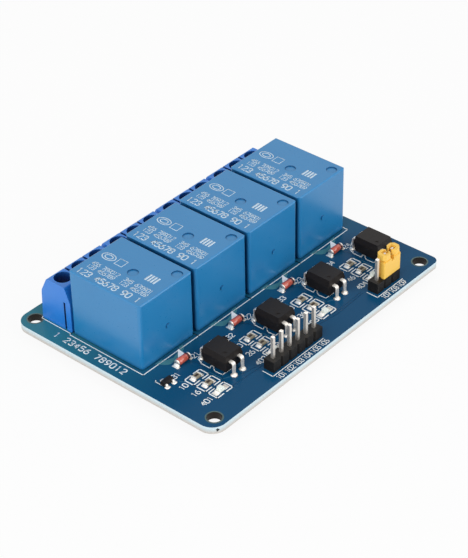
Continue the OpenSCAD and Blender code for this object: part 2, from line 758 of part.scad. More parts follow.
module jumper_shell() {
    collar_h = jumper_h - jumper_body_h;
    color("#f2b33a") at_jumper() difference() {
        union() {
            linear_extrude(jumper_body_h) rounded_rect([jumper_w, jumper_d], 0.25);
            for (sx = [-1, 1]) translate([sx * (jumper_w - collar_w) / 2, 0, 0]) {
                translate([0, 0, jumper_body_h])
                    post([collar_w - 2 * neck_inset, jumper_d - neck_inset], -eps, neck_h + eps);
                translate([0, 0, jumper_body_h + neck_h]) linear_extrude(collar_h - neck_h)
                    collar_outline();
            }
        }
        for (sx = [-1, 1]) translate([sx * pin_pitch / 2, 0, 0])
            post([socket_side, socket_side], -eps, jumper_h + eps);
        // Slit that opens the two collars towards each other
        post([pin_pitch, collar_slit], jumper_body_h, jumper_h + eps);
        // Notch in the body between the collars
        post([jumper_notch_w, jumper_d + 1], jumper_body_h - jumper_notch_h, jumper_h);
        // Room for the metal bridge between the two sockets
        post([pin_pitch, socket_side], -eps, jumper_body_h - 1);
        // Shallow grip grooves at both ends
        for (sx = [-1, 1]) translate([sx * jumper_w / 2, 0, 0]) post([0.3, 0.5], -eps, jumper_body_h + eps);
    }
}

// Eight-sided collar round a socket
module collar_outline() {
    w = collar_w / 2;
    d = jumper_d / 2;
    c = collar_w / 4;
    polygon([
        [-w, -d + c], [-w + c, -d], [w - c, -d], [w, -d + c],
        [w, d - c], [w - c, d], [-w + c, d], [-w, d - c]
    ]);
}

// Sprung metal bridge: two square sleeves round the pins and a strip that joins them
module jumper_contact() {
    outer = socket_side - 2 * jumper_clearance;
    inner = outer - 2 * jumper_metal_t;
    sleeve_h = jumper_body_h - 1 - jumper_clearance;
    color("#cfa84a") at_jumper() difference() {
        union() {
            for (sx = [-1, 1]) translate([sx * pin_pitch / 2, 0, 0]) post([outer, outer], 0.3, sleeve_h);
            post([pin_pitch, jumper_metal_t], sleeve_h - 1.2, sleeve_h);
        }
        for (sx = [-1, 1]) translate([sx * pin_pitch / 2, 0, 0]) post([inner, inner], 0, sleeve_h + 1);
    }
}

// ---------------------------------------------------------------- small parts

// Optocoupler body: sides slope in above and below the plane of the leads
module optocoupler(i) {
    color("#232325") on_board() translate([channel_x(i) + opto_shift, opto_y, 0]) difference() {
        intersection() {
            along_x(opto_w) waisted(opto_l);
            rotate([0, 0, 90]) along_x(opto_l) waisted(opto_w);
        }
        // Pin mark beside the first lead
        translate([-opto_w / 4, -opto_l / 2 + 1.3, opto_lift + opto_h - 0.08]) cylinder(d = 0.8, h = 1);
    }
}

module waisted(size) {
    w = size / 2;
    polygon([
        [-w + opto_draft, opto_lift], [w - opto_draft, opto_lift], [w, opto_lead_z],
        [w - opto_draft, opto_lift + opto_h], [-w + opto_draft, opto_lift + opto_h], [-w, opto_lead_z]
    ]);
}

// Leads come out of the long ends, turn down and pass through the board
module optocoupler_leads() {
    mid = opto_lead_z;
    out = opto_row_span / 2 - opto_l / 2;
    color("#d4d6d8") on_board() for (p = opto_spots) {
        side = p.y < opto_y ? -1 : 1;
        translate([p.x, p.y, 0]) {
            post(opto_lead, -board_t - short_lead_drop, 0.1);
            post([lead_w, lead_t], 0, mid + lead_t / 2);
            translate([0, -side * out / 2, 0]) post([lead_w, out], mid - lead_t / 2, mid + lead_t / 2);
        }
    }
}

// Glass diodes lying along X, with metal caps
module diodes() {
    color("#b8442e") on_board() for (i = channel_list)
        translate([channel_x(i) - diode_shift, relay_front_y - diode_ahead, diode_d / 2]) rotate([0, 90, 0]) {
            cylinder(d = diode_d - 0.1, h = diode_l - 2 * diode_cap, center = true);
            for (s = [-1, 1]) translate([0, 0, s * (diode_l - diode_cap) / 2])
                cylinder(d = diode_d, h = diode_cap, center = true);
        }
}

// Transistors: two leads towards the front and one towards the back
module transistors() {
    foot = [transistor_lead_w, transistor_foot];
    upright = [transistor_lead_w, transistor_lead_t];
    color("#2a2826") on_board() for (i = channel_list)
        translate([channel_x(i) - transistor_shift, relay_front_y - transistor_ahead, 0]) {
            post([transistor_l, transistor_w], transistor_lead_t / 2, transistor_h);
            for (q = [[-transistor_lead_x, -1], [transistor_lead_x, -1], [0, 1]])
                translate([q.x, q.y * (transistor_w + foot.y) / 2, 0]) {
                    post(foot, 0, transistor_lead_t);
                    translate([0, q.y * (upright.y - foot.y) / 2, 0]) post(upright, 0, transistor_h * 0.6);
                }
        }
}

module at_chip(i, row)
    on_board() translate([channel_x(i) - chip_shift, relay_front_y - chip_ahead - row * chip_pitch, 0])
        children();

// Chip resistors: a ceramic slab wrapped by metal at both ends
module resistors() {
    color("#cfc6b6") for (i = channel_list, row = [0, 1]) at_chip(i, row) {
        post([chip_l - 2 * chip_end, chip_w], 0, chip_h);
        for (s = [-1, 1]) translate([s * (chip_l - chip_end) / 2, 0, 0])
            post([chip_end, chip_w], 0, chip_h + 0.05);
    }
}

// Indicator lamps: a chip base with a clear lens in the middle
module lamps() {
    color("#e9f2e4") for (i = channel_list) at_chip(i, 2) {
        post([chip_l, chip_w], 0, lens_h / 3);
        along_x(chip_l - 2 * chip_end) lens_outline();
    }
}

module lens_outline()
    polygon([
        [-chip_w / 2, 0], [chip_w / 2, 0], [chip_w / 2 - 0.08, lens_h], [-chip_w / 2 + 0.08, lens_h]
    ]);

// Solder: a cone round each lead under the board, and a fillet at each end of a surface part
module solder_joints() {
    color("#c3c8cc") on_board() {
        solder_cones(relay_spots, relay_lead, relay_lead);
        solder_cones(cage_spots, cage_lead, cage_lead);
        solder_cones(concat(input_spots, power_spots), header_lead, header_lead);
        solder_cones(opto_spots, opto_lead, opto_lead);
    }
    for (i = channel_list, row = [0 : 2]) at_chip(i, row) end_fillets(chip_l, chip_w, chip_h * 0.8);
    on_board() for (i = channel_list)
        translate([channel_x(i) - diode_shift, relay_front_y - diode_ahead, 0])
            end_fillets(diode_l, diode_d * 0.9, diode_d / 2);
}

module solder_cones(spots, lead, cut)
    for (p = spots) translate([p.x, p.y, -board_t]) difference() {
        mirror([0, 0, 1])
            cylinder(r1 = norm(lead) / 2 + solder_ring, r2 = norm(lead) / 2 + 0.08, h = solder_h, $fn = 24);
        post(cut, -solder_h - eps, eps);
    }

module end_fillets(length, width, height)
    for (s = [-1, 1])
        translate([s * length / 2, 0, 0]) rotate([0, 0, s > 0 ? -90 : 90]) along_x(width)
            polygon([[0, 0], [fillet_reach, 0], [0, height]]);

// ---------------------------------------------------------------- nodes

circuit_board();
for (i = channel_list) {
    relay_cover(i);
    relay_armature(i);
    terminal_housing(i);
    optocoupler(i);
}
for (t = terminal_list) {
    terminal_leaf(t);
    terminal_screw(t);
}
relay_bases();
relay_bobbins();
relay_windings();
relay_yokes();
relay_contacts();
terminal_cages();
header_body(input_spots);  // input_header_body
header_pins(input_spots);  // input_header_pins
header_body(power_spots);  // power_header_body
header_pins(power_spots);  // power_header_pins
jumper_shell();
jumper_contact();
optocoupler_leads();
diodes();
transistors();
resistors();
lamps();
solder_joints();
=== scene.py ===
import math

import bmesh
import bpy
from mathutils import Matrix, Vector


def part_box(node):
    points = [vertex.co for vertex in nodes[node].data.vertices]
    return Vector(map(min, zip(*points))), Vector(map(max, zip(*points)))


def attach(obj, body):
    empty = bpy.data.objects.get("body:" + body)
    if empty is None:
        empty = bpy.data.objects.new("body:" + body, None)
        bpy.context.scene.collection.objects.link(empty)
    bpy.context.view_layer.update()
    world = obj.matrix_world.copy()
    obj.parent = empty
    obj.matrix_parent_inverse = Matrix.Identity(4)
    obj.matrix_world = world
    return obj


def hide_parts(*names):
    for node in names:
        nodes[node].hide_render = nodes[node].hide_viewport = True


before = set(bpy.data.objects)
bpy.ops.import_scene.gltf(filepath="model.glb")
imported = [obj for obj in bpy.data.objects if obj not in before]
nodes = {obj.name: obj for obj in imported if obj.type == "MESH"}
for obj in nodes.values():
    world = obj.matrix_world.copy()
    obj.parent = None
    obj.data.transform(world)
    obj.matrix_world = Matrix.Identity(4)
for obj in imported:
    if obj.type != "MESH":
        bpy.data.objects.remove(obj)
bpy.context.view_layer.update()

mm = 0.001
scene = bpy.context.scene
channels = sorted(int(name.split("_")[-1]) for name in nodes if name.startswith("relay_cover_"))
print("frame loaded:", len(nodes), "nodes")

boardLow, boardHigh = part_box("circuit_board")
boardCorner = (boardLow.x, boardLow.y, boardHigh.z)  # front left corner of its top face


def onBoard(x, y, z=0.0):  # millimetres from the board's front left corner, up from its top face
    return Vector((boardLow.x + x * mm, boardLow.y + y * mm, boardHigh.z + z * mm))


def boardBox(name):  # a node's box in the same millimetres: left, front, low, right, back, high
    return [(corner[i] - boardCorner[i]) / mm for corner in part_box(name) for i in range(3)]


def solidBoxes(name):  # the box of each separate solid in a node, in rows from the left front
    work = bmesh.new()
    work.from_mesh(nodes[name].data)
    bmesh.ops.remove_doubles(work, verts=work.verts, dist=1e-7)
    boxes, unseen = [], set(work.verts)
    while unseen:
        queue, corners = [unseen.pop()], []
        while queue:
            vertex = queue.pop()
            corners.append(vertex.co.copy())
            for edge in vertex.link_edges:
                other = edge.other_vert(vertex)
                if other in unseen:
                    unseen.remove(other)
                    queue.append(other)
        low = Vector([min(c[i] for c in corners) for i in range(3)])
        high = Vector([max(c[i] for c in corners) for i in range(3)])
        boxes.append((low, high))
    work.free()
    return sorted(boxes, key=lambda b: (round(b[0].x, 5), round(b[0].y, 5)))


def middle(box):
    return (box[0] + box[1]) / 2


def footOf(low, high):  # a place that takes millimetres, at the middle of a box's foot
    foot = Vector(((low.x + high.x) / 2, (low.y + high.y) / 2, low.z))
    return Matrix.Translation(foot) @ Matrix.Scale(mm, 4)


relayBoxes = {i: boardBox(f"relay_cover_{i}") for i in channels}
channelX = {i: (b[0] + b[3]) / 2 for i, b in relayBoxes.items()}
channelPitch = (channelX[channels[-1]] - channelX[channels[0]]) / (len(channels) - 1)
relayFront = relayBoxes[channels[0]][1]
boardThickness = (boardHigh.z - boardLow.z) / mm


view = {
    "aim": (0.22, -0.71, 6.53), "distance": 386.59,               # mm
    "azimuth": -48.559, "elevation": 36.128, "roll": -1.146,      # degrees
    "lens": 120.56, "sensor": 36.0, "clip": (0.01, 10),
}


def makeCamera(look):
    camera = bpy.data.objects.new("camera", bpy.data.cameras.new("camera"))
    scene.collection.objects.link(camera)
    camera.data.sensor_fit = "VERTICAL"
    camera.data.sensor_height = look["sensor"]
    camera.data.lens = look["lens"]
    camera.data.clip_start, camera.data.clip_end = look["clip"]
    a, e = math.radians(look["azimuth"]), math.radians(look["elevation"])
    back = Vector((math.sin(a) * math.cos(e), -math.cos(a) * math.cos(e), math.sin(e)))
    turn = (-back).to_track_quat("-Z", "Y").to_matrix().to_4x4()
    place = Matrix.Translation((Vector(look["aim"]) + back * look["distance"]) * mm)
    camera.matrix_world = place @ turn @ Matrix.Rotation(math.radians(look["roll"]), 4, "Z")
    scene.camera = camera


makeCamera(view)
print("camera set")


def hexColour(code):  # sRGB hex to the linear colour that shaders and lamps take
    parts = [int(code[i:i + 2], 16) / 255 for i in (1, 3, 5)]
    linear = [c / 12.92 if c <= 0.04045 else ((c + 0.055) / 1.055) ** 2.4 for c in parts]
    return (*linear, 1.0)


def addNode(tree, kind, inputs=None, **settings):  # a node with its settings, values and links
    node = tree.nodes.new(kind)
    for name, value in settings.items():
        setattr(node, name, value)
    for key, value in (inputs or {}).items():
        if isinstance(value, bpy.types.Node):
            value = value.outputs[0]
        if isinstance(value, bpy.types.NodeSocket):
            tree.links.new(value, node.inputs[key])
        else:
            node.inputs[key].default_value = value
    return node


def newMaterial(name, gloss):  # gloss holds the plain values of the shader's own sockets
    material = bpy.data.materials.new(name)
    material.use_nodes = True
    shader = material.node_tree.nodes["Principled BSDF"]
    for key, value in gloss.items():
        shader.inputs[key].default_value = value
    return material, material.node_tree, shader


plasticGloss = {"IOR": 1.5, "Specular IOR Level": 0.5}
dullGloss = {"IOR": 1.5, "Specular IOR Level": 0.25}
hazyGloss = {"IOR": 1.5, "Specular IOR Level": 0.7}
metalGloss = {"Metallic": 1.0}

# Colours drift slowly between two shades; drift, grain and reach are in millimetres.
# A finish with a shade colour is darkened to it where other faces stand within reach, as
# painted shade in gaps and wells, and own says whether only the piece's own faces count.
finishes = {
    # Moulded PBT: smooth satin blue that hazes to pale where it mirrors the room, with painted
    # shade in the narrow gaps between covers
    "relayPlastic": {
        "colours": ("#1e7ab4", "#2481ba"), "drift": 6.0, "grain": 0.4, "rough": (0.25, 0.33),
        "bump": 0.03, "gloss": hazyGloss, "paintedShade": "#0b2f5c", "reach": 1.6, "own": False},
    # Moulded polyamide: a stronger, slightly waxy blue, with painted shade darkening it in the
    # wells
    "terminalPlastic": {
        "colours": ("#1f78d4", "#2580da"), "drift": 3.0, "grain": 0.3, "rough": (0.3, 0.4),
        "bump": 0.04, "gloss": hazyGloss, "paintedShade": "#0b2560", "reach": 6.0, "own": True},
    # Glass-filled PBT: darker and duller than the cover
    "basePlastic": {
        "colours": ("#24507f", "#2b5a8c"), "drift": 2.0, "grain": 0.15, "rough": (0.5, 0.65),
        "bump": 0.3, "gloss": plasticGloss},
    # Glass-filled polyester: black with a dusty skin
    "headerPlastic": {
        "colours": ("#100e0d", "#1b1815"), "drift": 1.0, "grain": 0.2, "rough": (0.4, 0.55),
        "bump": 0.12, "gloss": dullGloss},
    # Transfer-moulded epoxy: matt charcoal with a fine spark-eroded grain
    "epoxyPlastic": {
        "colours": ("#120e0d", "#1c1715"), "drift": 0.8, "grain": 0.15, "rough": (0.42, 0.55),
        "bump": 0.15, "gloss": dullGloss},
    # Moulded polypropylene: bright egg-yolk orange, soft gloss
    "jumperPlastic": {
        "colours": ("#f5c24f", "#f8cb5e"), "drift": 1.5, "grain": 0.3, "rough": (0.3, 0.4),
        "bump": 0.05, "gloss": {"IOR": 1.49}},
    # Natural nylon: milky and waxy
    "bobbinPlastic": {
        "colours": ("#dcd6c4", "#e6e1d2"), "drift": 1.5, "grain": 0.2, "rough": (0.35, 0.5),
        "bump": 0.2, "gloss": plasticGloss},
    # Matt tin plate over brass: bright, faintly warm and slightly clouded
    "tinPlate": {
        "colours": ("#e0d9d0", "#f1ece5"), "drift": 0.6, "grain": 0.2, "rough": (0.36, 0.48),
        "bump": 0.03, "gloss": metalGloss},
    # Hot-dipped leads: thick satin tin that spreads the light almost like white paint
    "dippedTin": {
        "colours": ("#e6e1d9", "#f7f3ec"), "drift": 0.5, "grain": 0.3, "rough": (0.42, 0.55),
        "bump": 0.08, "gloss": {"Metallic": 0.7}},
    # Frozen solder: brighter than the tin and faintly rippled
    "solderAlloy": {
        "colours": ("#d8d4ce", "#f2efea"), "drift": 0.4, "grain": 0.3, "rough": (0.28, 0.42),
        "bump": 0.12, "gloss": metalGloss},
    # Zinc-plated steel screws and leaves: cool grey with a turned sheen
    "zincSteel": {
        "colours": ("#b4b8be", "#cfd2d6"), "drift": 0.5, "grain": 0.06, "rough": (0.28, 0.42),
        "bump": 0.3, "gloss": metalGloss},
    # Nickel-plated brass cages: a warmer, softer grey
    "nickelBrass": {
        "colours": ("#b9b4aa", "#cbc7bf"), "drift": 0.8, "grain": 0.1, "rough": (0.3, 0.45),
        "bump": 0.2, "gloss": metalGloss},
    # Annealed magnet iron: dull grey
    "magnetIron": {
        "colours": ("#8e9196", "#a5a8ab"), "drift": 1.0, "grain": 0.1, "rough": (0.4, 0.55),
        "bump": 0.25, "gloss": metalGloss},
    # Copper alloy with silver buttons: pale and slightly yellow
    "contactAlloy": {
        "colours": ("#c9b58c", "#ddd0b4"), "drift": 0.8, "grain": 0.1, "rough": (0.25, 0.4),
        "bump": 0.2, "gloss": metalGloss},
    # Enamelled copper wire: deep amber lacquer
    "enamelWire": {
        "colours": ("#8a3f1d", "#a6512a"), "drift": 0.7, "grain": 0.1, "rough": (0.2, 0.35),
        "bump": 0.1, "gloss": {"IOR": 1.55, "Coat Weight": 0.6}},
    # Fired glass tube: the red-brown glow of the copper-clad leads inside it
    "diodeGlass": {
        "colours": ("#a02a22", "#ee7a60"), "drift": 0.9, "grain": 0.3, "rough": (0.08, 0.14),
        "bump": 0.03, "gloss": {"IOR": 1.52, "Coat Weight": 0.5}},
    # Cathode ring of dark enamel fired on the glass
    "diodeBand": {
        "colours": ("#3a1414", "#55191a"), "drift": 0.6, "grain": 0.2, "rough": (0.2, 0.3),
        "bump": 0.03, "gloss": plasticGloss},
    # Dull glass cloth, which shows where the mask stops short of a hole
    "bareRim": {
        "colours": ("#2e4a50", "#58706c"), "drift": 0.6, "grain": 0.2, "rough": (0.45, 0.6),
        "bump": 0.1, "gloss": plasticGloss},
    # Drill wall: near-black brown, painted shade for the inside of the hole, with faintly lighter
    # patches
    "drilledWall": {
        "colours": ("#0f0c0a", "#241c16"), "drift": 0.9, "grain": 0.2, "rough": (0.35, 0.5),
        "bump": 0.2, "gloss": dullGloss},
    # Fired alumina chips: tan where the glass film runs out over it
    "alumina": {
        "colours": ("#857b66", "#a89d86"), "drift": 0.5, "grain": 0.15, "rough": (0.45, 0.6),
        "bump": 0.1, "gloss": plasticGloss},
    # Overglaze on the resistive film: glossy near-black brown
    "resistorGlaze": {
        "colours": ("#2a1e16", "#3a2c22"), "drift": 0.4, "grain": 0.15, "rough": (0.25, 0.35),
        "bump": 0.05, "gloss": plasticGloss},
    # Clear epoxy over a white reflector: reads as milky glass
    "lampResin": {
        "colours": ("#e9f4e8", "#fafcf8"), "drift": 0.4, "grain": 0.2, "rough": (0.12, 0.2),
        "bump": 0.03, "gloss": {"IOR": 1.53}},
}
shadeShares = (0.3, 0.85)  # how open a place is where the painted shade ends and the plain colour begins
skinDepth = 0.02          # mm, of every finish's fine texture


def surfaceMaterial(name, look):
    # Slow colour drift, uneven gloss and a fine skin texture, on object coordinates, and painted
    # shade in recesses for finishes that have a shade colour
    material, tree, shader = newMaterial(name, look["gloss"])
    place = addNode(tree, "ShaderNodeTexCoord").outputs["Object"]
    drift = addNode(tree, "ShaderNodeTexNoise", {
        "Vector": place, "Scale": 1 / (look["drift"] * mm), "Detail": 3.0})
    colour = addNode(tree, "ShaderNodeMix", {
        0: drift, 6: hexColour(look["colours"][0]), 7: hexColour(look["colours"][1])},
        data_type="RGBA")
    skin = addNode(tree, "ShaderNodeTexNoise", {
        "Vector": place, "Scale": 1 / (look["grain"] * mm), "Detail": 4.0})
    rough = addNode(tree, "ShaderNodeMapRange", {
        "Value": skin, "To Min": look["rough"][0], "To Max": look["rough"][1]})
    bump = addNode(tree, "ShaderNodeBump", {
        "Height": skin, "Strength": look["bump"], "Distance": skinDepth * mm})
    # Painted shade: where ambient occlusion finds other faces within reach, the colour turns to the
    # dark shade colour
    if "paintedShade" in look:
        shadeOcclusion = addNode(tree, "ShaderNodeAmbientOcclusion", {"Distance": look["reach"] * mm},
                       samples=8, only_local=look["own"])
        shadeMix = addNode(tree, "ShaderNodeMapRange", {
            "Value": shadeOcclusion.outputs["AO"], "From Min": shadeShares[0], "From Max": shadeShares[1]})
        colour = addNode(tree, "ShaderNodeMix", {
            0: shadeMix, 6: hexColour(look["paintedShade"]), 7: colour.outputs[2]}, data_type="RGBA")
    tree.links.new(colour.outputs[2], shader.inputs["Base Color"])
    tree.links.new(rough.outputs[0], shader.inputs["Roughness"])
    tree.links.new(bump.outputs[0], shader.inputs["Normal"])
    return material


solderMask = {  # epoxy laminate under a printed solder mask: deep blue faces and a pale glass edge
    "mask": "#0b496f", "paintedSheen": "#317a8c", "gap": "#0c3355",
    "gloss": {"IOR": 1.5, "Specular IOR Level": 0.12}, "rough": 0.26, "roughOver": 0.28,
    "sheenFrom": 16.0, "sheenTo": 52.0,  # mm from the front edge, where a painted reflection turns the mask pale teal
    "cloud": 9.0, "wander": 6.0,       # mm, size of the painted reflection's uneven patches and how far they reach
    "skin": "#cfe4ec", "core": "#c9c4be", "skinDeep": 0.5,  # the cut edge from the top down, mm
    "strand": 0.4, "ragged": 0.5,      # mm, single glass strands that break up the edge
    "weave": 0.55, "weaveDeep": 0.01,  # mm, glass cloth, drawn coarser than the real 0.3
    "weaveBump": 0.05,
    # A dark spot on the front edge near its left end, mm
    "edgeSpot": "#2c3234", "edgeSpotAt": 1.3, "edgeSpotWide": 0.87,
}


def maskColour(tree, place, look):
    # The mask turns from deep blue at the front to pale teal at the back: a painted reflection, in
    # uneven patches
    spread = addNode(tree, "ShaderNodeSeparateXYZ", {"Vector": place})
    cloud = addNode(tree, "ShaderNodeTexNoise", {
        "Vector": place, "Scale": 1 / (look["cloud"] * mm), "Detail": 2.0})
    wander = addNode(tree, "ShaderNodeMath", {0: cloud, 1: look["wander"] * mm},
                     operation="MULTIPLY")
    depth = addNode(tree, "ShaderNodeMath", {0: spread.outputs["Y"], 1: wander}, operation="ADD")
    sheen = addNode(tree, "ShaderNodeMapRange", {
        "Value": depth, "From Min": boardLow.y + look["sheenFrom"] * mm,
        "From Max": boardLow.y + look["sheenTo"] * mm}, interpolation_type="SMOOTHSTEP")
    return addNode(tree, "ShaderNodeMix", {
        0: sheen, 6: hexColour(look["mask"]), 7: hexColour(look["paintedSheen"])},
        data_type="RGBA").outputs[2]


def makeLaminate(look):
    gloss = {**look["gloss"], "Roughness": look["rough"]}
    material, tree, shader = newMaterial("solderMask", gloss)
    place = addNode(tree, "ShaderNodeTexCoord").outputs["Object"]
    mask = maskColour(tree, place, look)
    # Level faces carry the mask, and upright ones are the cut edge
    normal = addNode(tree, "ShaderNodeNewGeometry").outputs["Normal"]
    up = addNode(tree, "ShaderNodeSeparateXYZ", {"Vector": normal}).outputs["Z"]
    flat = addNode(tree, "ShaderNodeMath", {0: up}, operation="ABSOLUTE")
    face = addNode(tree, "ShaderNodeMath", {0: flat, 1: 0.5}, operation="GREATER_THAN")
    # The cut edge: pale under the top mask, greyer glass below, with single strands showing
    height = addNode(tree, "ShaderNodeSeparateXYZ", {"Vector": place}).outputs["Z"]
    strands = addNode(tree, "ShaderNodeTexNoise", {
        "Vector": place, "Scale": 1 / (look["strand"] * mm), "Detail": 3.0})
    ragged = addNode(tree, "ShaderNodeMath", {0: strands, 1: look["ragged"] * mm},
                     operation="MULTIPLY")
    level = addNode(tree, "ShaderNodeMath", {0: height, 1: ragged}, operation="SUBTRACT")
    depth = addNode(tree, "ShaderNodeMapRange", {
        "Value": level, "From Min": boardLow.z, "From Max": boardHigh.z - look["skinDeep"] * mm})
    core = addNode(tree, "ShaderNodeMix", {
        0: depth, 6: hexColour(look["core"]), 7: hexColour(look["skin"])}, data_type="RGBA")
    # A dark spot on the front edge, darker than the edge round it
    edgeSpot = onBoard(look["edgeSpotAt"], 0, -boardThickness / 2)
    away = addNode(tree, "ShaderNodeVectorMath", {0: place, 1: edgeSpot},
                   operation="DISTANCE").outputs["Value"]
    spotReach = addNode(tree, "ShaderNodeMath", {0: away, 1: ragged}, operation="ADD")
    clearOfSpot = addNode(tree, "ShaderNodeMath", {0: spotReach, 1: look["edgeSpotWide"] * mm},
                    operation="GREATER_THAN")
    edge = addNode(tree, "ShaderNodeMix", {
        0: clearOfSpot, 6: hexColour(look["edgeSpot"]), 7: core.outputs[2]}, data_type="RGBA")
    colour = addNode(tree, "ShaderNodeMix", {0: face, 6: edge.outputs[2], 7: mask},
                     data_type="RGBA")
    tree.links.new(colour.outputs[2], shader.inputs["Base Color"])
    cloth = addNode(tree, "ShaderNodeTexChecker", {
        "Vector": place, "Scale": 1 / (look["weave"] * mm)})
    bump = addNode(tree, "ShaderNodeBump", {
        "Height": cloth.outputs["Fac"], "Strength": look["weaveBump"],
        "Distance": look["weaveDeep"] * mm})
    tree.links.new(bump.outputs[0], shader.inputs["Normal"])
    return material


maskTints = {  # what lies under the mask tints it: copper makes it paler, a bare gap darker
    "maskedCopper": (0.14, "#5f9fb0"), "bandCopper": (0.75, "#4f8a90"),
    "maskedGap": (0.6, solderMask["gap"]),
}


def makeMaskOver(look, name, shade, under):
    material, tree, shader = newMaterial(name, {**look["gloss"], "Roughness": look["roughOver"]})
    place = addNode(tree, "ShaderNodeTexCoord").outputs["Object"]
    mask = maskColour(tree, place, look)
    tinted = addNode(tree, "ShaderNodeMix", {0: shade, 6: mask, 7: hexColour(under)},
                     data_type="RGBA")
    tree.links.new(tinted.outputs[2], shader.inputs["Base Color"])
    return material


inks = {  # screen or pad printed, chalky: its colour, where it is thin, and how much it covers
    "screenInk": ("#f4f8f8", "#d3e1e8", (0.28, 0.42)),
    "solidInk": ("#ffffff", "#f2f6f8", (0.2, 0.5)),
    "padInk": ("#cbdeed", "#a0c3de", (0.30, 0.5)),
}
inkSkin = {"gloss": {"IOR": 1.45, "Roughness": 0.6}, "patch": 0.35}  # patch in mm


def makeInk(name, colour, thin, cover):
    material, tree, shader = newMaterial(name, inkSkin["gloss"])
    place = addNode(tree, "ShaderNodeTexCoord").outputs["Object"]
    patch = addNode(tree, "ShaderNodeTexNoise", {
        "Vector": place, "Scale": 1 / (inkSkin["patch"] * mm), "Detail": 3.0})
    worn = addNode(tree, "ShaderNodeMapRange", {
        "Value": patch, "From Min": cover[0], "From Max": cover[1]})
    mix = addNode(tree, "ShaderNodeMix", {0: worn, 6: hexColour(thin), 7: hexColour(colour)},
                  data_type="RGBA")
    tree.links.new(mix.outputs[2], shader.inputs["Base Color"])
    return material


materials = {name: surfaceMaterial(name, look) for name, look in finishes.items()}
materials["solderMask"] = makeLaminate(solderMask)
for name, tint in maskTints.items():
    materials[name] = makeMaskOver(solderMask, name, *tint)
for name, look in inks.items():
    materials[name] = makeInk(name, *look)

nodeMaterials = {  # a node's name, or that name without its number, and its finish
    "circuit_board": "solderMask", "relay_cover": "relayPlastic", "relay_bases": "basePlastic",
    "relay_bobbins": "bobbinPlastic", "relay_windings": "enamelWire",
    "relay_yokes": "magnetIron", "relay_contacts": "contactAlloy",
    "relay_armature": "contactAlloy", "terminal_housing": "terminalPlastic",
    "terminal_cages": "nickelBrass", "terminal_leaf": "zincSteel",
    "terminal_screw": "zincSteel", "input_header_body": "headerPlastic",
    "power_header_body": "headerPlastic", "input_header_pins": "tinPlate",
    "power_header_pins": "tinPlate", "jumper_shell": "jumperPlastic",
    "jumper_contact": "contactAlloy", "optocoupler": "epoxyPlastic",
    "optocoupler_leads": "tinPlate", "diodes": "diodeGlass", "transistors": "epoxyPlastic",
    "resistors": "resistorGlaze", "lamps": "lampResin", "solder_joints": "solderAlloy",
}
for name, node in nodes.items():
    kind = name if name in nodeMaterials else name.rsplit("_", 1)[0]
    node.data.materials.clear()
    node.data.materials.append(materials[nodeMaterials[kind]])
print("finishes put on", len(nodes), "nodes")


def newTree(name, sockets):  # sockets: input name -> (socket type, default)
    tree = bpy.data.node_groups.new(name, "GeometryNodeTree")
    tree.interface.new_socket("Geometry", in_out="INPUT", socket_type="NodeSocketGeometry")
    for label, (kind, default) in sockets.items():
        socket = tree.interface.new_socket(label, in_out="INPUT", socket_type=kind)
        if default is not None:
            socket.default_value = default
    tree.interface.new_socket("Geometry", in_out="OUTPUT", socket_type="NodeSocketGeometry")
    return tree, tree.nodes.new("NodeGroupInput")


def closeTree(tree, given, geometry):  # instances made real, material set, result out
    real = addNode(tree, "GeometryNodeRealizeInstances", {0: geometry})
    dressed = addNode(tree, "GeometryNodeSetMaterial", {
        0: real, "Material": given.outputs["Material"]})
    addNode(tree, "NodeGroupOutput", {0: dressed})
    return tree


def runTree(tree, values, base):  # the plain mesh that a tree makes from a base mesh
    holder = bpy.data.objects.new(tree.name, base)
    scene.collection.objects.link(holder)
    modifier = holder.modifiers.new(tree.name, "NODES")
    modifier.node_group = tree
    for item in tree.interface.items_tree:
        if item.item_type == "SOCKET" and item.in_out == "INPUT" and item.name in values:
            modifier[item.identifier] = values[item.name]
    depsgraph = bpy.context.evaluated_depsgraph_get()
    mesh = bpy.data.meshes.new_from_object(holder.evaluated_get(depsgraph))
    holder.modifiers.clear()
    bpy.data.objects.remove(holder)
    return mesh


def lineTree():  # bars that follow a mesh's edges: printed lines, tracks
    tree, given = newTree("barsOnLines", {
        "Width": ("NodeSocketFloat", 0.2 * mm), "Height": ("NodeSocketFloat", 0.02 * mm),
        "Material": ("NodeSocketMaterial", None)})
    path = addNode(tree, "GeometryNodeMeshToCurve", {0: given.outputs["Geometry"]})
    upright = addNode(tree, "GeometryNodeSetCurveNormal", {0: path}, mode="Z_UP")
    section = addNode(tree, "GeometryNodeCurvePrimitiveQuadrilateral", {
        "Width": given.outputs["Width"], "Height": given.outputs["Height"]}, mode="RECTANGLE")
    bars = addNode(tree, "GeometryNodeCurveToMesh", {
        "Curve": upright, "Profile Curve": section, "Fill Caps": True})
    return closeTree(tree, given, bars)


def repeatTree():  # the same small part set on every point of a base mesh
    tree, given = newTree("partOnPoints", {
        "Part": ("NodeSocketObject", None), "Material": ("NodeSocketMaterial", None)})
    part = addNode(tree, "GeometryNodeObjectInfo", {"Object": given.outputs["Part"]})
    copies = addNode(tree, "GeometryNodeInstanceOnPoints", {
        "Points": given.outputs["Geometry"], "Instance": part.outputs["Geometry"]})
    return closeTree(tree, given, copies)


trees = {"lines": lineTree(), "repeat": repeatTree()}


def joinMeshes(name, parts):  # parts: meshes, or (mesh, matrix) pairs, made one mesh
    palette, work = [], bmesh.new()
    for part in parts:
        mesh, place = part if isinstance(part, tuple) else (part, Matrix.Identity(4))
        copy = mesh.copy()
        copy.transform(place)
        own = list(copy.materials)
        for material in own:
            if material not in palette:
                palette.append(material)
        for face in copy.polygons:
            face.material_index = palette.index(own[face.material_index])
        work.from_mesh(copy)
        bpy.data.meshes.remove(copy)
    joined = bpy.data.meshes.new(name)
    work.to_mesh(joined)
    work.free()
    for material in palette:
        joined.materials.append(material)
    return joined


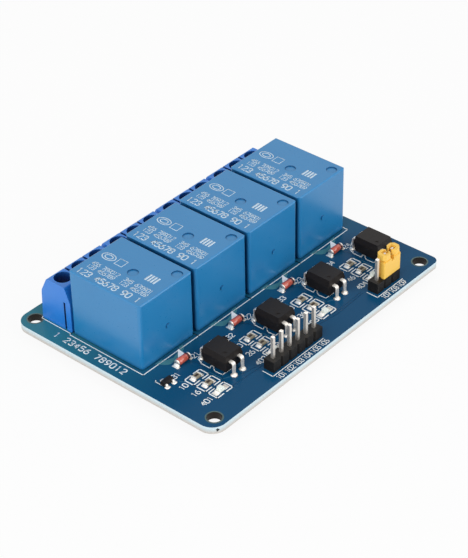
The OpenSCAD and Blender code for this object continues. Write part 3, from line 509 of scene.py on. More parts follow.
def addPiece(name, mesh, body, replaced=()):
    piece = bpy.data.objects.new(name, mesh)
    scene.collection.objects.link(piece)
    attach(piece, body)
    if replaced:
        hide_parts(*replaced)
    spans = [[vertex.co[i] / mm for vertex in mesh.vertices] for i in range(3)]
    size = [round(max(span) - min(span), 2) for span in spans]
    print("piece", name, len(mesh.polygons), "faces", size, "mm")


def lineMesh(paths, width, height, material, chained=False):
    # Bars along each path: chained bars bend round corners, and loose ones cross, so that
    # square corners close
    work = bmesh.new()
    for path in paths:
        if chained:
            closed = (path[0] - path[-1]).length < 1e-7
            row = [work.verts.new(point) for point in (path[:-1] if closed else path)]
            for start, end in zip(row, row[1:] + (row[:1] if closed else [])):
                work.edges.new((start, end))
            continue
        for start, end in zip(path, path[1:]):
            reach = (end - start).normalized() * width / 2
            work.edges.new((work.verts.new(start - reach), work.verts.new(end + reach)))
    base = bpy.data.meshes.new("lines")
    work.to_mesh(base)
    work.free()
    values = {"Width": width, "Height": height, "Material": material}
    return runTree(trees["lines"], values, base)


def repeatPart(mesh, points):  # copies of a small mesh of one material on points
    part = bpy.data.objects.new("part", mesh)
    scene.collection.objects.link(part)
    base = bpy.data.meshes.new("points")
    base.from_pydata([tuple(point) for point in points], [], [])
    made = runTree(trees["repeat"], {"Part": part, "Material": mesh.materials[0]}, base)
    bpy.data.objects.remove(part)
    return made


def finishMesh(work, name, material, smooth=False):
    bmesh.ops.recalc_face_normals(work, faces=work.faces)
    for face in work.faces:
        face.smooth = smooth
    mesh = bpy.data.meshes.new(name)
    work.to_mesh(mesh)
    work.free()
    mesh.materials.append(material)
    return mesh


def bridgeRings(work, rings):  # faces between rings of as many corners each, and at both ends
    count = len(rings[0])
    for a, b in zip(rings, rings[1:]):
        for k in range(count):
            n = (k + 1) % count
            work.faces.new((a[k], a[n], b[n], b[k]))
    work.faces.new(rings[0])
    work.faces.new(rings[-1])


def blockMesh(name, low, high, bevel, material, taper=0.0, steps=2):
    # A block with rounded edges; taper draws its top in, as a mould's draft does
    work = bmesh.new()
    bmesh.ops.create_cube(work, size=1)
    size, centre = Vector(high) - Vector(low), (Vector(high) + Vector(low)) / 2
    for vertex in work.verts:
        pull = Vector((taper, taper, 0)) if vertex.co.z > 0 else Vector((0, 0, 0))
        vertex.co = centre + Vector([vertex.co[i] * (size[i] - 2 * pull[i]) for i in range(3)])
    bmesh.ops.bevel(work, geom=work.edges[:], offset=bevel, segments=steps, affect="EDGES",
                    profile=0.5)
    return finishMesh(work, name, material)


def turnedMesh(name, outline, material, sides=24, axis="Z", smooth=True):
    # An outline of (radius, height) turned round an axis: a solid where its ends lie on the
    # axis, and a ring where they don't
    work = bmesh.new()
    rings = []
    for radius, height in outline:
        turns = [2 * math.pi * k / sides for k in range(sides if radius > 0 else 1)]
        rings.append([work.verts.new((radius * math.cos(a), radius * math.sin(a), height))
                      for a in turns])
    pairs = list(zip(rings, rings[1:]))
    if len(rings[0]) > 1 and len(rings[-1]) > 1:
        pairs.append((rings[-1], rings[0]))
    for lower, upper in pairs:
        for k in range(sides):
            n = (k + 1) % sides
            corners = [lower[k % len(lower)], lower[n % len(lower)],
                       upper[n % len(upper)], upper[k % len(upper)]]
            unique = list(dict.fromkeys(corners))
            if len(unique) > 2:
                work.faces.new(unique)
    if axis == "X":
        quarter = Matrix.Rotation(math.radians(90), 3, "Y")
        bmesh.ops.rotate(work, verts=work.verts, matrix=quarter)
    return finishMesh(work, name, material, smooth)


def ringMesh(name, inner, outer, low, high, material, sides=28):
    outline = [(inner, low), (outer, low), (outer, high), (inner, high)]
    return turnedMesh(name, outline, material, sides, smooth=False)


def sheetMesh(corners, thickness, material):  # a flat plate standing on its outline
    work = bmesh.new()
    lower = [work.verts.new(c) for c in corners]
    upper = [work.verts.new(c + Vector((0, 0, thickness))) for c in corners]
    bridgeRings(work, [lower, upper])
    return finishMesh(work, "sheet", material)


moundShape = {  # a low pillow: shares of its plan and of its height, from the pad to the crown
    "levels": [(1.0, 0.0), (0.96, 0.35), (0.8, 0.75), (0.45, 1.0)],
    "sides": 16, "roundness": 0.6,  # 1 is an ellipse, less is squarer
}


def moundMesh(width, length, height, material, look=moundShape):
    def squared(value):
        return math.copysign(abs(value) ** look["roundness"], value)

    work = bmesh.new()
    turns = [2 * math.pi * n / look["sides"] for n in range(look["sides"])]
    rings = [[work.verts.new((width / 2 * share * squared(math.cos(a)),
                              length / 2 * share * squared(math.sin(a)), height * level))
              for a in turns] for share, level in look["levels"]]
    bridgeRings(work, rings)
    return finishMesh(work, "leg solder", material, smooth=True)


def stripMesh(path, widths, thickness, material, bevel=0.0):
    # A flat strip bent along a path of (y, z) points, each with its own width along X
    work = bmesh.new()
    rows = []
    for k, (y, z) in enumerate(path):
        before, after = path[max(k - 1, 0)], path[min(k + 1, len(path) - 1)]
        along = Vector((after[0] - before[0], after[1] - before[1])).normalized()
        side = Vector((-along.y, along.x)) * thickness / 2
        bend = Vector((y - before[0], z - before[1])).normalized() if k else along
        mitre = 1 / max(abs(bend.dot(along)), 0.5)
        half = widths[k] / 2
        rows.append([work.verts.new((right * half, y + up * side.x * mitre,
                                     z + up * side.y * mitre))
                     for right, up in ((-1, -1), (1, -1), (1, 1), (-1, 1))])
    bridgeRings(work, rows)
    if bevel:
        bmesh.ops.bevel(work, geom=work.edges[:], offset=bevel, segments=2, affect="EDGES",
                        profile=0.5)
    return finishMesh(work, "leg", material)


# Plain figures, drawn with single strokes on a grid 4 wide and 6 tall
figureGrid = (4, 6)
figureStrokes = {
    "0": [[(1, 0), (3, 0), (4, 1), (4, 5), (3, 6), (1, 6), (0, 5), (0, 1), (1, 0)]],
    "1": [[(0.8, 5), (2, 6), (2, 0)]],
    "2": [[(0, 5), (1, 6), (3, 6), (4, 5), (4, 4), (0, 0.1), (4, 0)]],
    "3": [[(0, 5.2), (1, 6), (3, 6), (4, 5), (4, 4), (2.8, 3.1), (1.4, 3.1)],
          [(2.8, 3), (4, 2.1), (4, 1), (3, 0), (1, 0), (0, 0.8)]],
    "4": [[(3, 0), (3, 6)], [(3, 6), (0, 2)], [(0, 2), (4, 2)]],
    "5": [[(3.8, 6), (0.2, 6)], [(0.2, 6), (0, 3.4)],
          [(0, 3.4), (3, 3.6), (4, 2.6), (4, 1), (3, 0), (1, 0), (0, 0.8)]],
    "6": [[(3.2, 6), (1.4, 5), (0, 3), (0, 1), (1, 0), (3, 0), (4, 1), (4, 2.4), (3, 3.4),
           (1, 3.4), (0.1, 2.6)]],
    "7": [[(0, 6), (3.9, 6)], [(3.9, 6), (1.4, 0)]],
    "8": [[(1, 3.2), (0, 4.2), (0, 5), (1, 6), (3, 6), (4, 5), (4, 4.2), (3, 3.2), (4, 2.2),
           (4, 1), (3, 0), (1, 0), (0, 1), (0, 2.2), (1, 3.2)], [(1, 3.2), (3, 3.2)]],
    "9": [[(0.8, 0), (2.6, 1), (4, 3), (4, 5), (3, 6), (1, 6), (0, 5), (0, 3.6), (1, 2.6),
           (3, 2.6), (3.9, 3.4)]],
}


def figurePaths(text, height, pitch, place, turn=0.0, slim=0.62):
    # Strokes for a row of figures, centred on a place; height and pitch in millimetres, and
    # slim is a figure's width as a share of its height
    paths = []
    spin = Matrix.Rotation(math.radians(turn), 3, "Z")
    wide, tall = figureGrid
    for k, figure in enumerate(text):
        left = (k - (len(text) - 1) / 2) * pitch - height * slim / 2
        for stroke in figureStrokes.get(figure, []):
            paths.append([place + spin @ Vector((left + x / wide * height * slim,
                                                 (y / tall - 0.5) * height, 0)) * mm
                          for x, y in stroke])
    return paths


resistorBoxes, lampBoxes = solidBoxes("resistors"), solidBoxes("lamps")
chipRows = sorted({round((middle(box).y - boardLow.y) / mm, 2)
                   for box in resistorBoxes + lampBoxes}, reverse=True)
chipOffset = (middle(lampBoxes[0]).x - boardLow.x) / mm  # the chips of the first channel

screenPrint = {  # millimetres; pairs are (right of a channel's middle, back from the front edge)
    "line": 0.2, "bracket": 0.27, "ink": 0.03,
    # The frame round each relay and the one round the terminal block behind it
    "frameLeft": 0.785, "frameFront": 0.6, "seam": 0.05, "blockStep": 0.4,
    "channelLines": [
        # The optocoupler's outline, notched at the end that carries the first lead
        [(4.0, 9.95), (1.6, 10.03), (1.5, 11.9), (1.95, 12.6), (2.45, 13.0), (2.45, 13.6),
         (1.55, 13.3), (1.6, 15.6), (2.0, 15.85)],
        [(1.8, 15.9), (2.3, 17.0), (3.2, 17.5), (5.0, 18.4)],
        # The corner beside the transistor
        [(-8.1, 18.9), (-8.4, 18.6), (-8.4, 17.0), (-7.8, 16.7)],
    ],
    # Half of the mark round a chip, from the chip's middle
    "chipBracket": [(0.48, -1.2), (2.25, -1.2), (2.25, 1.2), (0.48, 1.2)],
    # Open lines in front of the headers: two points from the left end and one from the right
    "headerLines": [("input_header_body", (-0.85, 4.7), (-0.9, 2.05), (-0.5, 2.05)),
                    ("power_header_body", (-0.75, 4.7), (-0.8, 1.95), (0.1, 1.95))],
    # The solid pointer beside each diode, back from the relays' front
    "pointer": [(2.07, -0.3), (1.8, -2.35), (-0.09, -2.25)],
    # Figures; {} is the channel's number
    "label": 1.25, "labelPitch": 0.98, "labelLine": 0.22,
    "partLabels": [("2{}", 2.85, -4.2), ("3{}", -4.5, -5.6)],  # back from the relays' front
    "chipLabels": [("{}0", -6.0, 0.0), ("{}6", -6.0, -0.1), ("40{}", -6.4, -0.2)],
    "pinLabel": 1.15, "pinPitch": 0.8, "pinLine": 0.18, "pinsBack": 1.05, "pinDrift": 0.12,
    "pinLabels": [("input_header_pins", 101, -0.75), ("power_header_pins", 107, -0.3)],
    "strip": 1.5, "stripPitch": 1.42, "stripLine": 0.28,
    "stripText": "1 23456 789012", "stripAt": (2.3, 34.9),
}
# The wide copper along each relay's front, from the channel's middle and the relays' front
bandShape = {
    "thick": 0.03,
    "outline": [(-4.5, -0.05), (-3.1, -2.0), (-2.4, -2.45), (-0.4, -2.35), (1.7, -1.75),
                (3.1, -1.0), (3.7, -0.1), (2.5, -0.1), (1.9, -0.9), (-0.6, -1.5),
                (-2.2, -0.9), (-2.6, -0.1)],
}


def frameLines(look, lift):  # round the relays and the terminal blocks behind them
    paths = []
    left = relayBoxes[channels[0]][0] - look["frameLeft"]
    block = boardBox(f"terminal_housing_{channels[0]}")
    front, seam, back = relayFront - look["frameFront"], block[1] - look["seam"], block[4]
    for k in range(len(channels)):
        near = left + k * channelPitch
        far = near + channelPitch
        for x, y, end in ((near, front, seam), (near + look["blockStep"], seam, back)):
            corners = [(x, y), (far, y), (far, end), (x, end), (x, y)]
            paths.append([onBoard(*corner, lift) for corner in corners])
    return paths


def printPaths(look):  # thin outlines, and the bolder brackets round the chips
    lift = look["ink"] / 2
    paths, brackets = frameLines(look, lift), []
    for i in channels:
        for line in look["channelLines"]:
            paths.append([onBoard(channelX[i] + x, y, lift) for x, y in line])
        chipX = channelX[i] + chipOffset - channelX[channels[0]]
        for row in chipRows:
            for side in (-1, 1):
                brackets.append([onBoard(chipX + side * x, row + y, lift)
                                 for x, y in look["chipBracket"]])
    for name, *line in look["headerLines"]:
        left, _, _, right, _, _ = boardBox(name)
        ends = zip((left, left, right), line)
        paths.append([onBoard(end + x, y, lift) for end, (x, y) in ends])
    return paths, brackets


def labelPaths(look):  # part numbers, pin numbers along the front, and a row down the left margin
    lift = look["ink"] / 2
    labels, pins = [], []
    for i in channels:
        spots = [(text, x, relayFront + y) for text, x, y in look["partLabels"]]
        spots += [(text, x, row + y) for (text, x, y), row in zip(look["chipLabels"], chipRows)]
        for text, x, y in spots:
            labels += figurePaths(text.format(i), look["label"], look["labelPitch"],
                                  onBoard(channelX[i] + x, y, lift))
    for name, first, shift in look["pinLabels"]:
        for k, box in enumerate(solidBoxes(name)):
            x = (middle(box).x - boardLow.x) / mm + shift + look["pinDrift"] * k
            pins += figurePaths(str(first + k), look["pinLabel"], look["pinPitch"],
                                onBoard(x, look["pinsBack"], lift))
    strip = figurePaths(look["stripText"], look["strip"], look["stripPitch"],
                        onBoard(*look["stripAt"], lift), turn=-90)
    return (labels, "labelLine"), (pins, "pinLine"), (strip, "stripLine")


def makeBoardPrint(look):
    ink, finish = look["ink"] * mm, materials["screenInk"]
    thin, bold = printPaths(look)
    parts = [lineMesh(thin, look["line"] * mm, ink, finish),
             lineMesh(bold, look["bracket"] * mm, ink, finish)]
    for i in channels:
        corners = [onBoard(channelX[i] + x, relayFront + y) for x, y in look["pointer"]]
        parts.append(sheetMesh(corners, ink + bandShape["thick"] * mm, materials["solidInk"]))
    for paths, line in labelPaths(look):
        parts.append(lineMesh(paths, look[line] * mm, ink, finish, chained=True))
    return joinMeshes("board_print", parts)


addPiece("board_print", makeBoardPrint(screenPrint), "board")


relayPrint = {  # millimetres on a cover's top, right and back from its left front corner
    "ink": 0.01, "line": 0.22, "bar": 0.48,
    "rows": [("123 45678 90 1", 1.55, 1.2, 1.6, 9.95, 0.29),  # text, height, pitch, x, y, stroke
             ("123 456789  123 456789", 1.0, 0.735, 3.72, 9.7, 0.17),
             ("456 789012  345 678901", 1.0, 0.735, 5.1, 9.6, 0.17)],
    # Plain rings, a square and a group of bars stand beside the figures
    "markAt": 8.5, "rings": (1.05, 0.6), "ringStretch": 1.6, "ringBack": 16.4, "ringSides": 24,
    "square": 1.0, "squareBack": 13.1,
    "bars": 4, "barFrom": -1.15, "barTo": 1.0, "barBack": 3.5, "barPitch": 0.72,
}


def makeRelayPrint(look):
    lift, at = look["ink"] / 2, look["markAt"]
    turns = [2 * math.pi * k / look["ringSides"] for k in range(look["ringSides"] + 1)]
    texts, marks, bars = [], [], []
    for i in channels:
        left, front, _, _, _, top = relayBoxes[i]
        for text, height, pitch, x, y, stroke in look["rows"]:
            place = onBoard(left + x, front + y, top + lift)
            texts.append((figurePaths(text, height, pitch, place, turn=-90), stroke))
        loops = [[(size * math.sin(a), look["ringBack"] + look["ringStretch"] * size * math.cos(a))
                  for a in turns] for size in look["rings"]]
        loops.append([(x * look["square"], look["squareBack"] + y * look["square"])
                      for x, y in ((-1, -1), (1, -1), (1, 1), (-1, 1), (-1, -1))])
        rows = [look["barBack"] + look["barPitch"] * k for k in range(look["bars"])]
        lines = [[(look["barFrom"], y), (look["barTo"], y)] for y in rows]
        for kind, paths in ((marks, loops), (bars, lines)):
            kind += [[onBoard(left + at + x, front + y, top + lift) for x, y in path]
                     for path in paths]
    parts = [lineMesh(paths, stroke * mm, look["ink"] * mm, materials["padInk"], chained=True)
             for paths, stroke in texts + [(marks, look["line"]), (bars, look["bar"])]]
    return joinMeshes("relay_print", parts)


addPiece("relay_print", makeRelayPrint(relayPrint), "board")


diodeShape = {  # millimetres across the glass, along each cap, and along the band
    "glass": 1.48, "neck": 0.8, "cap": 0.26, "capRound": 0.08,
    "band": 0.42, "bandAt": 1.12, "bandSunk": 0.05, "bandProud": 0.015,
}


def makeDiodes(look):
    parts = []
    cap, soft, glass = look["cap"] * mm, look["capRound"] * mm, look["glass"] * mm / 2
    for low, high in solidBoxes("diodes"):
        place = Matrix.Translation(middle((low, high)))
        half, radius = (high.x - low.x) / 2, (high.z - low.z) / 2
        neck, shoulder = (glass * look["neck"], half - cap), (glass, half - 1.5 * cap)
        rising = [(0, half - cap), neck, shoulder]
        barrel = [(r, -h) for r, h in rising] + rising[::-1]
        parts.append((turnedMesh("glass", barrel, materials["diodeGlass"], axis="X"), place))
        for side in (-1, 1):
            ends = [(0, half - cap), (radius - soft, half - cap), (radius, half - cap + soft),
                    (radius, half - soft), (radius - soft, half), (0, half)]
            ends = [(r, side * h) for r, h in ends]
            parts.append((turnedMesh("cap", ends, materials["tinPlate"], axis="X"), place))
        at, wide = look["bandAt"] * mm, look["band"] * mm / 2
        inner, outer = glass - look["bandSunk"] * mm, glass + look["bandProud"] * mm
        sleeve = [(inner, at - wide), (outer, at - wide), (outer, at + wide), (inner, at + wide)]
        parts.append((turnedMesh("band", sleeve, materials["diodeBand"], axis="X"), place))
    return joinMeshes("diode_set", parts)


addPiece("diode_set", makeDiodes(diodeShape), "board", ["diodes"])


transistorShape = {  # millimetres
    "length": 2.7, "width": 1.3, "lift": 0.1, "draft": 0.12, "round": 0.07,
    "legWidth": 0.5, "foot": 0.75, "legSheet": 0.14, "legAcross": 0.95,
    "middle": 0.45,                          # where the legs leave, as a share of the case
    "legOut": (-0.15, 0.12, 0.2, 0.27, 0.36),  # from the case's side as the leg goes down
    "shoulder": 0.1, "shin": 0.18, "ankle": 0.08, "sole": 0.07,
    "solder": (0.4, 1.05, 0.22), "solderIn": 0.22,  # wider than the foot, length, height
}


def makeTransistors(look):
    width, lift, half = look["width"] / 2, look["lift"], look["length"] / 2
    wider, long, tall = look["solder"]
    widths = [look["legWidth"]] * 4 + [look["foot"]] * 2
    parts = []
    for low, high in solidBoxes("transistors"):
        place = footOf(low, high)
        top, reach = (high.z - low.z) / mm, (high.y - low.y) / mm / 2
        mid = lift + (top - lift) * look["middle"]
        case = blockMesh("case", (-half, -width, lift), (half, width, top), look["round"],
                         materials["epoxyPlastic"], look["draft"])
        parts.append((case, place))
        heights = [mid, mid, mid - look["shoulder"], look["shin"], look["ankle"]]
        for x, side in ((-look["legAcross"], -1), (look["legAcross"], -1), (0, 1)):
            path = [(side * (width + out), z) for out, z in zip(look["legOut"], heights)]
            path.append((side * reach, look["sole"]))
            leg = stripMesh(path, widths, look["legSheet"], materials["dippedTin"])
            parts.append((leg, place @ Matrix.Translation((x, 0, 0))))
            pad = moundMesh(look["foot"] + wider, long, tall, materials["dippedTin"])
            y = side * (reach - look["solderIn"])
            parts.append((pad, place @ Matrix.Translation((x, y, 0))))
    return joinMeshes("transistor_set", parts)


chipShape = {  # millimetres
    "end": 0.3, "cap": 0.03, "capRound": 0.06, "slabIn": 0.03, "slabRound": 0.04,
    "film": 0.56, "filmLong": 0.9, "filmThick": 0.04, "filmSunk": 0.01, "filmRound": 0.03,
}


def makeResistors(look):
    parts = []
    inset, film, across = look["slabIn"], look["filmLong"] / 2, look["film"] / 2
    for low, high in resistorBoxes:
        size, place = (high - low) / mm, footOf(low, high)
        half, wide, top = size.x / 2, size.y / 2, size.z - look["cap"] - look["filmThick"]
        parts.append((blockMesh("slab", (-half + inset, -wide + inset, inset),
                                (half - inset, wide - inset, top), look["slabRound"],
                                materials["alumina"]), place))
        parts.append((blockMesh("film", (-film, -across, top - look["filmSunk"]),
                                (film, across, top + look["filmThick"]), look["filmRound"],
                                materials["resistorGlaze"]), place))
        for side in (-1, 1):
            start, end = sorted((side * half, side * (half - look["end"])))
            parts.append((blockMesh("wrap", (start, -wide, 0), (end, wide, size.z),
                                    look["capRound"], materials["dippedTin"]), place))
    return joinMeshes("resistor_set", parts)


lampShape = {  # millimetres
    "base": 0.3, "baseIn": 0.04, "baseLift": 0.02, "baseRound": 0.03,
    "end": 0.34, "lensIn": 0.05, "lensSunk": 0.02, "lensRound": 0.1, "draft": 0.08,
    "pad": 0.3, "padWide": 0.96, "padProud": 0.04,
}


def makeLamps(look):
    parts = []
    base, inset, soft = look["base"], look["baseIn"], look["baseRound"]
    for low, high in lampBoxes:
        size, place = (high - low) / mm, footOf(low, high)
        half, wide = size.x / 2, size.y / 2
        parts.append((blockMesh("base", (-half + inset, -wide, look["baseLift"]),
                                (half - inset, wide, base), soft, materials["lampResin"]), place))
        long, across = half - look["end"], wide - look["lensIn"]
        parts.append((blockMesh("lens", (-long, -across, base - look["lensSunk"]),
                                (long, across, size.z), look["lensRound"],
                                materials["lampResin"], look["draft"], 3), place))
        across = wide * look["padWide"]
        for side in (-1, 1):
            start, end = sorted((side * half, side * (half - look["pad"])))
            parts.append((blockMesh("pad", (start, -across, 0),
                                    (end, across, base + look["padProud"]), soft,
                                    materials["dippedTin"]), place))
    return joinMeshes("lamp_set", parts)


optoLeg = {  # millimetres
    "width": 0.88, "root": 0.792, "waist": 0.84, "tip": 0.5, "sheet": 0.3, "round": 0.07,
    "rootSunk": 0.3, "lift": 0.04, "bend": 0.42, "steps": 3, "waistAt": (0.9, 0.25),
    "tipAt": 0.02, "solder": (1.4, 1.19, 0.42),  # width, length, height
}


def makeOptoLegs(look):
    # Broad strips that round over at the body and go down to the board with a collar of solder
    parts = []
    _, front, _, _, back, _ = boardBox(f"optocoupler_{channels[0]}")
    bend, steps = look["bend"], look["steps"]
    turns = [math.pi / 2 * k / steps for k in range(steps + 1)]
    widths = [look["root"]] + [look["width"]] * len(turns) + [look["waist"]] * 2 + [look["tip"]] * 2
    for low, high in solidBoxes("optocoupler_leads"):
        near, far = (low.y - boardLow.y) / mm, (high.y - boardLow.y) / mm
        top = (high.z - boardHigh.z) / mm - look["sheet"] / 2 + look["lift"]
        foot = (low.z - boardHigh.z) / mm
        side = -1 if near < (front + back) / 2 else 1
        wall, out = (front, near) if side < 0 else (back, far)
        out -= side * look["sheet"] / 2
        path = [(wall - side * look["rootSunk"], top)]
        path += [(out - side * bend * (1 - math.sin(a)), top - bend * (1 - math.cos(a)))
                 for a in turns]
        path += [(out, z) for z in (*look["waistAt"], look["tipAt"], foot)]
        place = Vector(((low.x + high.x) / 2, boardLow.y, boardHigh.z))
        place = Matrix.Translation(place) @ Matrix.Scale(mm, 4)
        leg = stripMesh(path, widths, look["sheet"], materials["dippedTin"], look["round"])
        parts.append((leg, place))
        collar = moundMesh(*look["solder"], materials["dippedTin"])
        parts.append((collar, place @ Matrix.Translation((0, out, 0))))
    return joinMeshes("optocoupler_legs", parts)


solderShape = {
    # The cone under the board: shares of its radius and depth; its rim and sunk top in mm
    "cone": [(0.72, 0.18), (0.5, 0.45), (0.38, 0.8), (0.3, 1.0), (0, 1.0)],
    "rim": 0.04, "sunk": 0.02, "sides": 20,
    # The fillet on top, as shares of the joint's box, with its narrow pads, toe and heel in mm;
    # the one on a narrow pad stands higher
    "reach": 0.6, "width": 0.96, "rise": 0.45, "narrow": 1.35, "narrowRise": 0.8,
    "slope": (0.15, 0.35, 0.6, 0.85, 1.0), "hollow": 2.2, "toe": 0.04, "heel": 0.12,
    "ribs": (-0.5, -0.38, 0.38, 0.5), "cheek": 0.8,
    "touch": 0.02,  # mm, within which a joint's end counts as lying at a part's end
}


def filletMesh(reach, width, rise, look):
    # A concave joint: tall against the part at its left side, thin at the pad's outer end
    work = bmesh.new()
    heel, start = -reach / 2 - look["heel"], -reach / 2
    profile = [(heel, 0), (heel, rise), (start, rise)]
    profile += [(start + reach * t, rise * (1 - t) ** look["hollow"] + look["toe"])
                for t in look["slope"]] + [(reach / 2, 0)]
    rows = []
    for rib in look["ribs"]:
        edge = look["cheek"] if abs(rib) == max(look["ribs"]) else 1.0
        rows.append([work.verts.new((x * (1 if x < 0 else edge), width * rib, z * edge))
                     for x, z in profile])
    bridgeRings(work, rows)
    return finishMesh(work, "fillet", materials["dippedTin"], smooth=True)


def makeSolder(look):
    # Round joints under the board, and the joints of the chips and diodes on top of it
    cones, fillets, depth = {}, [], 0
    partLows = [low for name in ("resistors", "lamps", "diodes") for low, _ in solidBoxes(name)]
    for low, high in solidBoxes("solder_joints"):
        if high.z < boardLow.z + look["touch"] * mm / 2:
            depth = high.z - low.z
            spot = Vector(((low.x + high.x) / 2, (low.y + high.y) / 2, boardLow.z))
            cones.setdefault(round((high.x - low.x) / 2 / mm, 2), []).append(spot)
            continue
        size, foot = (high - low) / mm, middle((low, high))
        foot.z = boardHigh.z
        # A joint at a part's left end is turned, so that its tall side meets the part
        leftEnd = any(abs(high.x - other.x) < look["touch"] * mm for other in partLows)
        place = (Matrix.Translation(foot) @ Matrix.Rotation(math.pi if leftEnd else 0, 4, "Z")
                 @ Matrix.Scale(mm, 4))
        reach, rise = look["reach"], look["rise" if size.y >= look["narrow"] else "narrowRise"]
        place = place @ Matrix.Translation(((reach - 1) * size.x / 2, 0, 0))
        fillet = filletMesh(size.x * reach, size.y * look["width"], size.z * rise, look)
        fillets.append((fillet, place))
    joints = []
    for key, spots in sorted(cones.items()):
        radius, sunk = key * mm, look["sunk"] * mm
        outline = [(0, sunk), (radius, sunk), (radius, -look["rim"] * mm)]
        outline += [(radius * across, -depth * down) for across, down in look["cone"]]
        cone = turnedMesh("joint", outline, materials["solderAlloy"], sides=look["sides"])
        joints.append(repeatPart(cone, spots))
    return joinMeshes("solder_fillets", joints + fillets)


addPiece("transistor_set", makeTransistors(transistorShape), "board",
         ["transistors"])
addPiece("resistor_set", makeResistors(chipShape), "board", ["resistors"])
addPiece("lamp_set", makeLamps(lampShape), "board", ["lamps"])
addPiece("optocoupler_legs", makeOptoLegs(optoLeg), "board",
         ["optocoupler_leads"])
addPiece("solder_fillets", makeSolder(solderShape), "board", ["solder_joints"])


padShape = {  # millimetres
    "thick": 0.02, "hole": 0.3, "tipIn": 0.13,
    "rings": [("input_header_pins", 0.85), ("power_header_pins", 0.85),
              ("optocoupler_leads", 0.72)],                             # radius
    "pads": [("resistors", 0.5), ("lamps", 0.95), ("diodes", 0.65)],    # beyond the part's end
    "under": 0.25, "wider": 0.06,
}


def makePads(look):  # bare rings round the leads, and flat pads under the surface parts
    parts, thick = [], look["thick"] * mm
    optoMiddle = middle(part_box("optocoupler_1")).y
    for name, radius in look["rings"]:
        spots = []
        for low, high in solidBoxes(name):
            centre = middle((low, high))
            if name == "optocoupler_leads":  # the tip lies at the outer end of the lead's box
                tip = look["tipIn"] * mm
                centre.y = low.y + tip if centre.y < optoMiddle else high.y - tip
            spots.append(Vector((centre.x, centre.y, boardHigh.z)))
        ring = ringMesh("ring", look["hole"] * mm, radius * mm, 0, thick,
                        materials["solderAlloy"])
        parts.append(repeatPart(ring, spots))
    under, wider, z = look["under"] * mm, look["wider"] * mm, boardHigh.z
    for name, beyond in look["pads"]:
        for low, high in solidBoxes(name):
            front, back = low.y - wider, high.y + wider
            for side, end in ((-1, low.x), (1, high.x)):
                inner, outer = end - side * under, end + side * beyond * mm
                corners = [Vector((inner, front, z)), Vector((outer, front, z)),
                           Vector((outer, back, z)), Vector((inner, back, z))]
                parts.append(sheetMesh(corners, thick, materials["dippedTin"]))
    return joinMeshes("board_pads", parts)


addPiece("board_pads", makePads(padShape), "board")


trackShape = {  # millimetres; pairs are (right, back)
    "thick": 0.02, "track": 0.3, "gap": 0.16, "wide": 2.4,
    # Two gaps between copper areas run the length of the board in front of the chips
    "gaps": [[(13.0, 7.75), (20.8, 6.45), (37.4, 6.5), (44.5, 5.5), (52.6, 5.75)],
             [(12.4, 6.3), (20.0, 5.85), (36.8, 5.85), (43.8, 4.9), (52.6, 5.2)]],
    # From each channel's middle
    "channelTracks": [[(-5.2, 15.4), (-5.2, 14.9), (-3.9, 13.5)],
                      [(-0.6, 13.4), (0.6, 12.4), (0.6, 9.2), (2.6, 8.3)]],
    "channelGaps": [[(-0.4, 18.3), (1.2, 16.8), (1.2, 11.5), (0.4, 8.0)]],
    # The broad tracks from the relay's contacts to the terminals, under the board
    "underTracks": [[(-6.0, 27.2), (-6.0, 39.4)], [(6.0, 27.2), (6.0, 39.4)],
                    [(-5.08, 39.4), (-5.08, 46.4)], [(5.08, 39.4), (5.08, 46.4)],
                    [(0, 25.2), (0, 46.4)]],
}


def makeTracks(look):
    # Tracks and copper areas, lying under the mask and seen as a paler, raised relief
    lift, parts = look["thick"] / 2, []

    def laid(paths, height, starts):
        return [[onBoard(start + x, y, height) for x, y in path]
                for start in starts for path in paths]

    middles = [channelX[i] for i in channels]
    tracks = laid(look["channelTracks"], lift, middles)
    gaps = laid(look["gaps"], lift, [0]) + laid(look["channelGaps"], lift, middles)
    under = laid(look["underTracks"], -boardThickness - lift, middles)
    for x in middles:
        corners = [onBoard(x + a, relayFront + b) for a, b in bandShape["outline"]]
        parts.append(sheetMesh(corners, bandShape["thick"] * mm, materials["bandCopper"]))
    for paths, width, finish in ((tracks, "track", "maskedCopper"), (gaps, "gap", "maskedGap"),
                                 (under, "wide", "maskedCopper")):
        parts.append(lineMesh(paths, look[width] * mm, look["thick"] * mm, materials[finish],
                              chained=True))
    return joinMeshes("copper_tracks", parts)


addPiece("copper_tracks", makeTracks(trackShape), "board")


holeShape = {  # millimetres
    "lining": 0.05, "clear": 0.002, "wallProud": 0.01, "rim": 0.3, "rimThick": 0.015,
    "sides": 40,
    # Where the ring of a corner's hole is looked for: within this far of the corner, past
    # the board's own edge and past its rounded corner
    "within": (5.2, 4.7), "pastEdge": 0.9, "pastCorner": 1.6,
}


def mountingHoles(look):  # each hole's middle and radius, from the board's own mesh
    found = []
    points = [vertex.co for vertex in nodes["circuit_board"].data.vertices]
    across, along = [reach * mm for reach in look["within"]]
    for cornerX in (boardLow.x, boardHigh.x):
        for cornerY in (boardLow.y, boardHigh.y):
            ring = []
            for point in points:
                dx, dy = abs(point.x - cornerX), abs(point.y - cornerY)
                if (dx < across and dy < along and min(dx, dy) > look["pastEdge"] * mm
                        and math.hypot(dx, dy) > look["pastCorner"] * mm):
                    ring.append(point)
            x, y = [p.x / mm for p in ring], [p.y / mm for p in ring]
            found.append(((min(x) + max(x)) / 2, (min(y) + max(y)) / 2, (max(x) - min(x)) / 2))
    return found


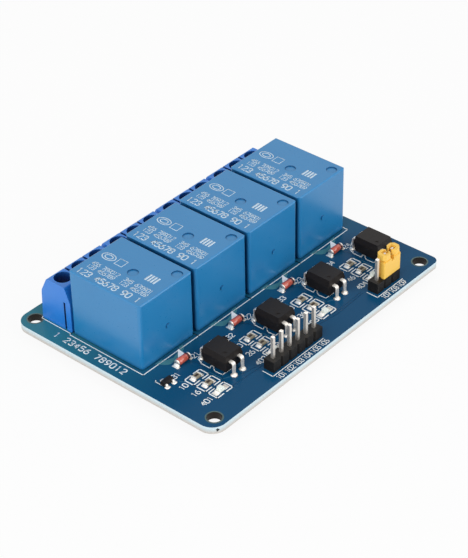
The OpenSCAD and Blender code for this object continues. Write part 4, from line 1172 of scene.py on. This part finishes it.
def makeHoleWalls(look):  # drill walls darkened as painted shade, each with a bare rim on both faces
    parts = []
    proud, thick = look["wallProud"] * mm, look["rimThick"] * mm
    for x, y, radius in mountingHoles(look):
        place = Matrix.Translation((x * mm, y * mm, 0))
        inner, outer = (radius - look["lining"]) * mm, (radius - look["clear"]) * mm
        wall = ringMesh("wall", inner, outer, boardLow.z - proud, boardHigh.z + proud,
                        materials["drilledWall"], look["sides"])
        parts.append((wall, place))
        for z in (boardLow.z - thick, boardHigh.z):
            rim = ringMesh("rim", outer, outer + look["rim"] * mm, z, z + thick,
                           materials["bareRim"], look["sides"])
            parts.append((rim, place))
    return joinMeshes("hole_walls", parts)


addPiece("hole_walls", makeHoleWalls(holeShape), "board")


studio = {
    "world": 0.42, "background": 1.0,
    "lamps": [  # name, place (m), size (m), watts
        ("leftSoftbox", (-0.75, 0.05, 0.45), 0.85, 4.8),
        ("frontSoftbox", (0.15, -0.75, 0.45), 0.85, 5.2),
    ],
    # Painted board: a plain pale floor that stays white to the eye and takes a faint shadow
    "floor": {"Base Color": hexColour("#e8e8e8"), "Roughness": 0.9, "Specular IOR Level": 0.0},
    "floorWhite": 0.92, "floorReach": 1.5,  # share of plain white, and metres each way
}


def seenByEye(tree):  # 1 for the rays that should meet a white background
    path = addNode(tree, "ShaderNodeLightPath").outputs
    seen = addNode(tree, "ShaderNodeMath", {
        0: path["Is Camera Ray"], 1: path["Is Glossy Ray"]}, operation="MAXIMUM")
    return addNode(tree, "ShaderNodeMath", {0: seen, 1: path["Is Transmission Ray"]},
                   operation="MAXIMUM")


def makeStudio(look):
    world = bpy.data.worlds.new("studio")
    scene.world = world
    world.use_nodes = True
    tree = world.node_tree
    tree.nodes.clear()
    white = hexColour("#ffffff")
    light = addNode(tree, "ShaderNodeBackground", {"Color": white, "Strength": look["world"]})
    backdrop = addNode(tree, "ShaderNodeBackground", {
        "Color": white, "Strength": look["background"]})
    mix = addNode(tree, "ShaderNodeMixShader", {0: seenByEye(tree), 1: light, 2: backdrop})
    addNode(tree, "ShaderNodeOutputWorld", {0: mix})
    for name, place, size, watts in look["lamps"]:
        lamp = bpy.data.objects.new(name, bpy.data.lights.new(name, "AREA"))
        lamp.data.size, lamp.data.energy = size, watts
        scene.collection.objects.link(lamp)
        turn = (-Vector(place)).to_track_quat("-Z", "Y").to_matrix().to_4x4()
        lamp.matrix_world = Matrix.Translation(place) @ turn


def makeFloor(look):
    material, tree, shader = newMaterial("paleFloor", look["floor"])
    share = addNode(tree, "ShaderNodeMath", {0: seenByEye(tree), 1: look["floorWhite"]},
                    operation="MULTIPLY")
    plain = addNode(tree, "ShaderNodeEmission", {"Color": hexColour("#ffffff"), "Strength": 1.0})
    both = addNode(tree, "ShaderNodeMixShader", {0: share, 1: shader, 2: plain})
    tree.links.new(both.outputs[0], tree.nodes["Material Output"].inputs["Surface"])
    reach = look["floorReach"]
    corners = [(-reach, -reach, 0), (reach, -reach, 0), (reach, reach, 0), (-reach, reach, 0)]
    mesh = bpy.data.meshes.new("floor")
    mesh.from_pydata(corners, [], [(0, 1, 2, 3)])
    mesh.materials.append(material)
    floor = bpy.data.objects.new("floor", mesh)
    scene.collection.objects.link(floor)


makeStudio(studio)
makeFloor(studio)
scene.view_settings.view_transform = "Standard"
print("studio lit")
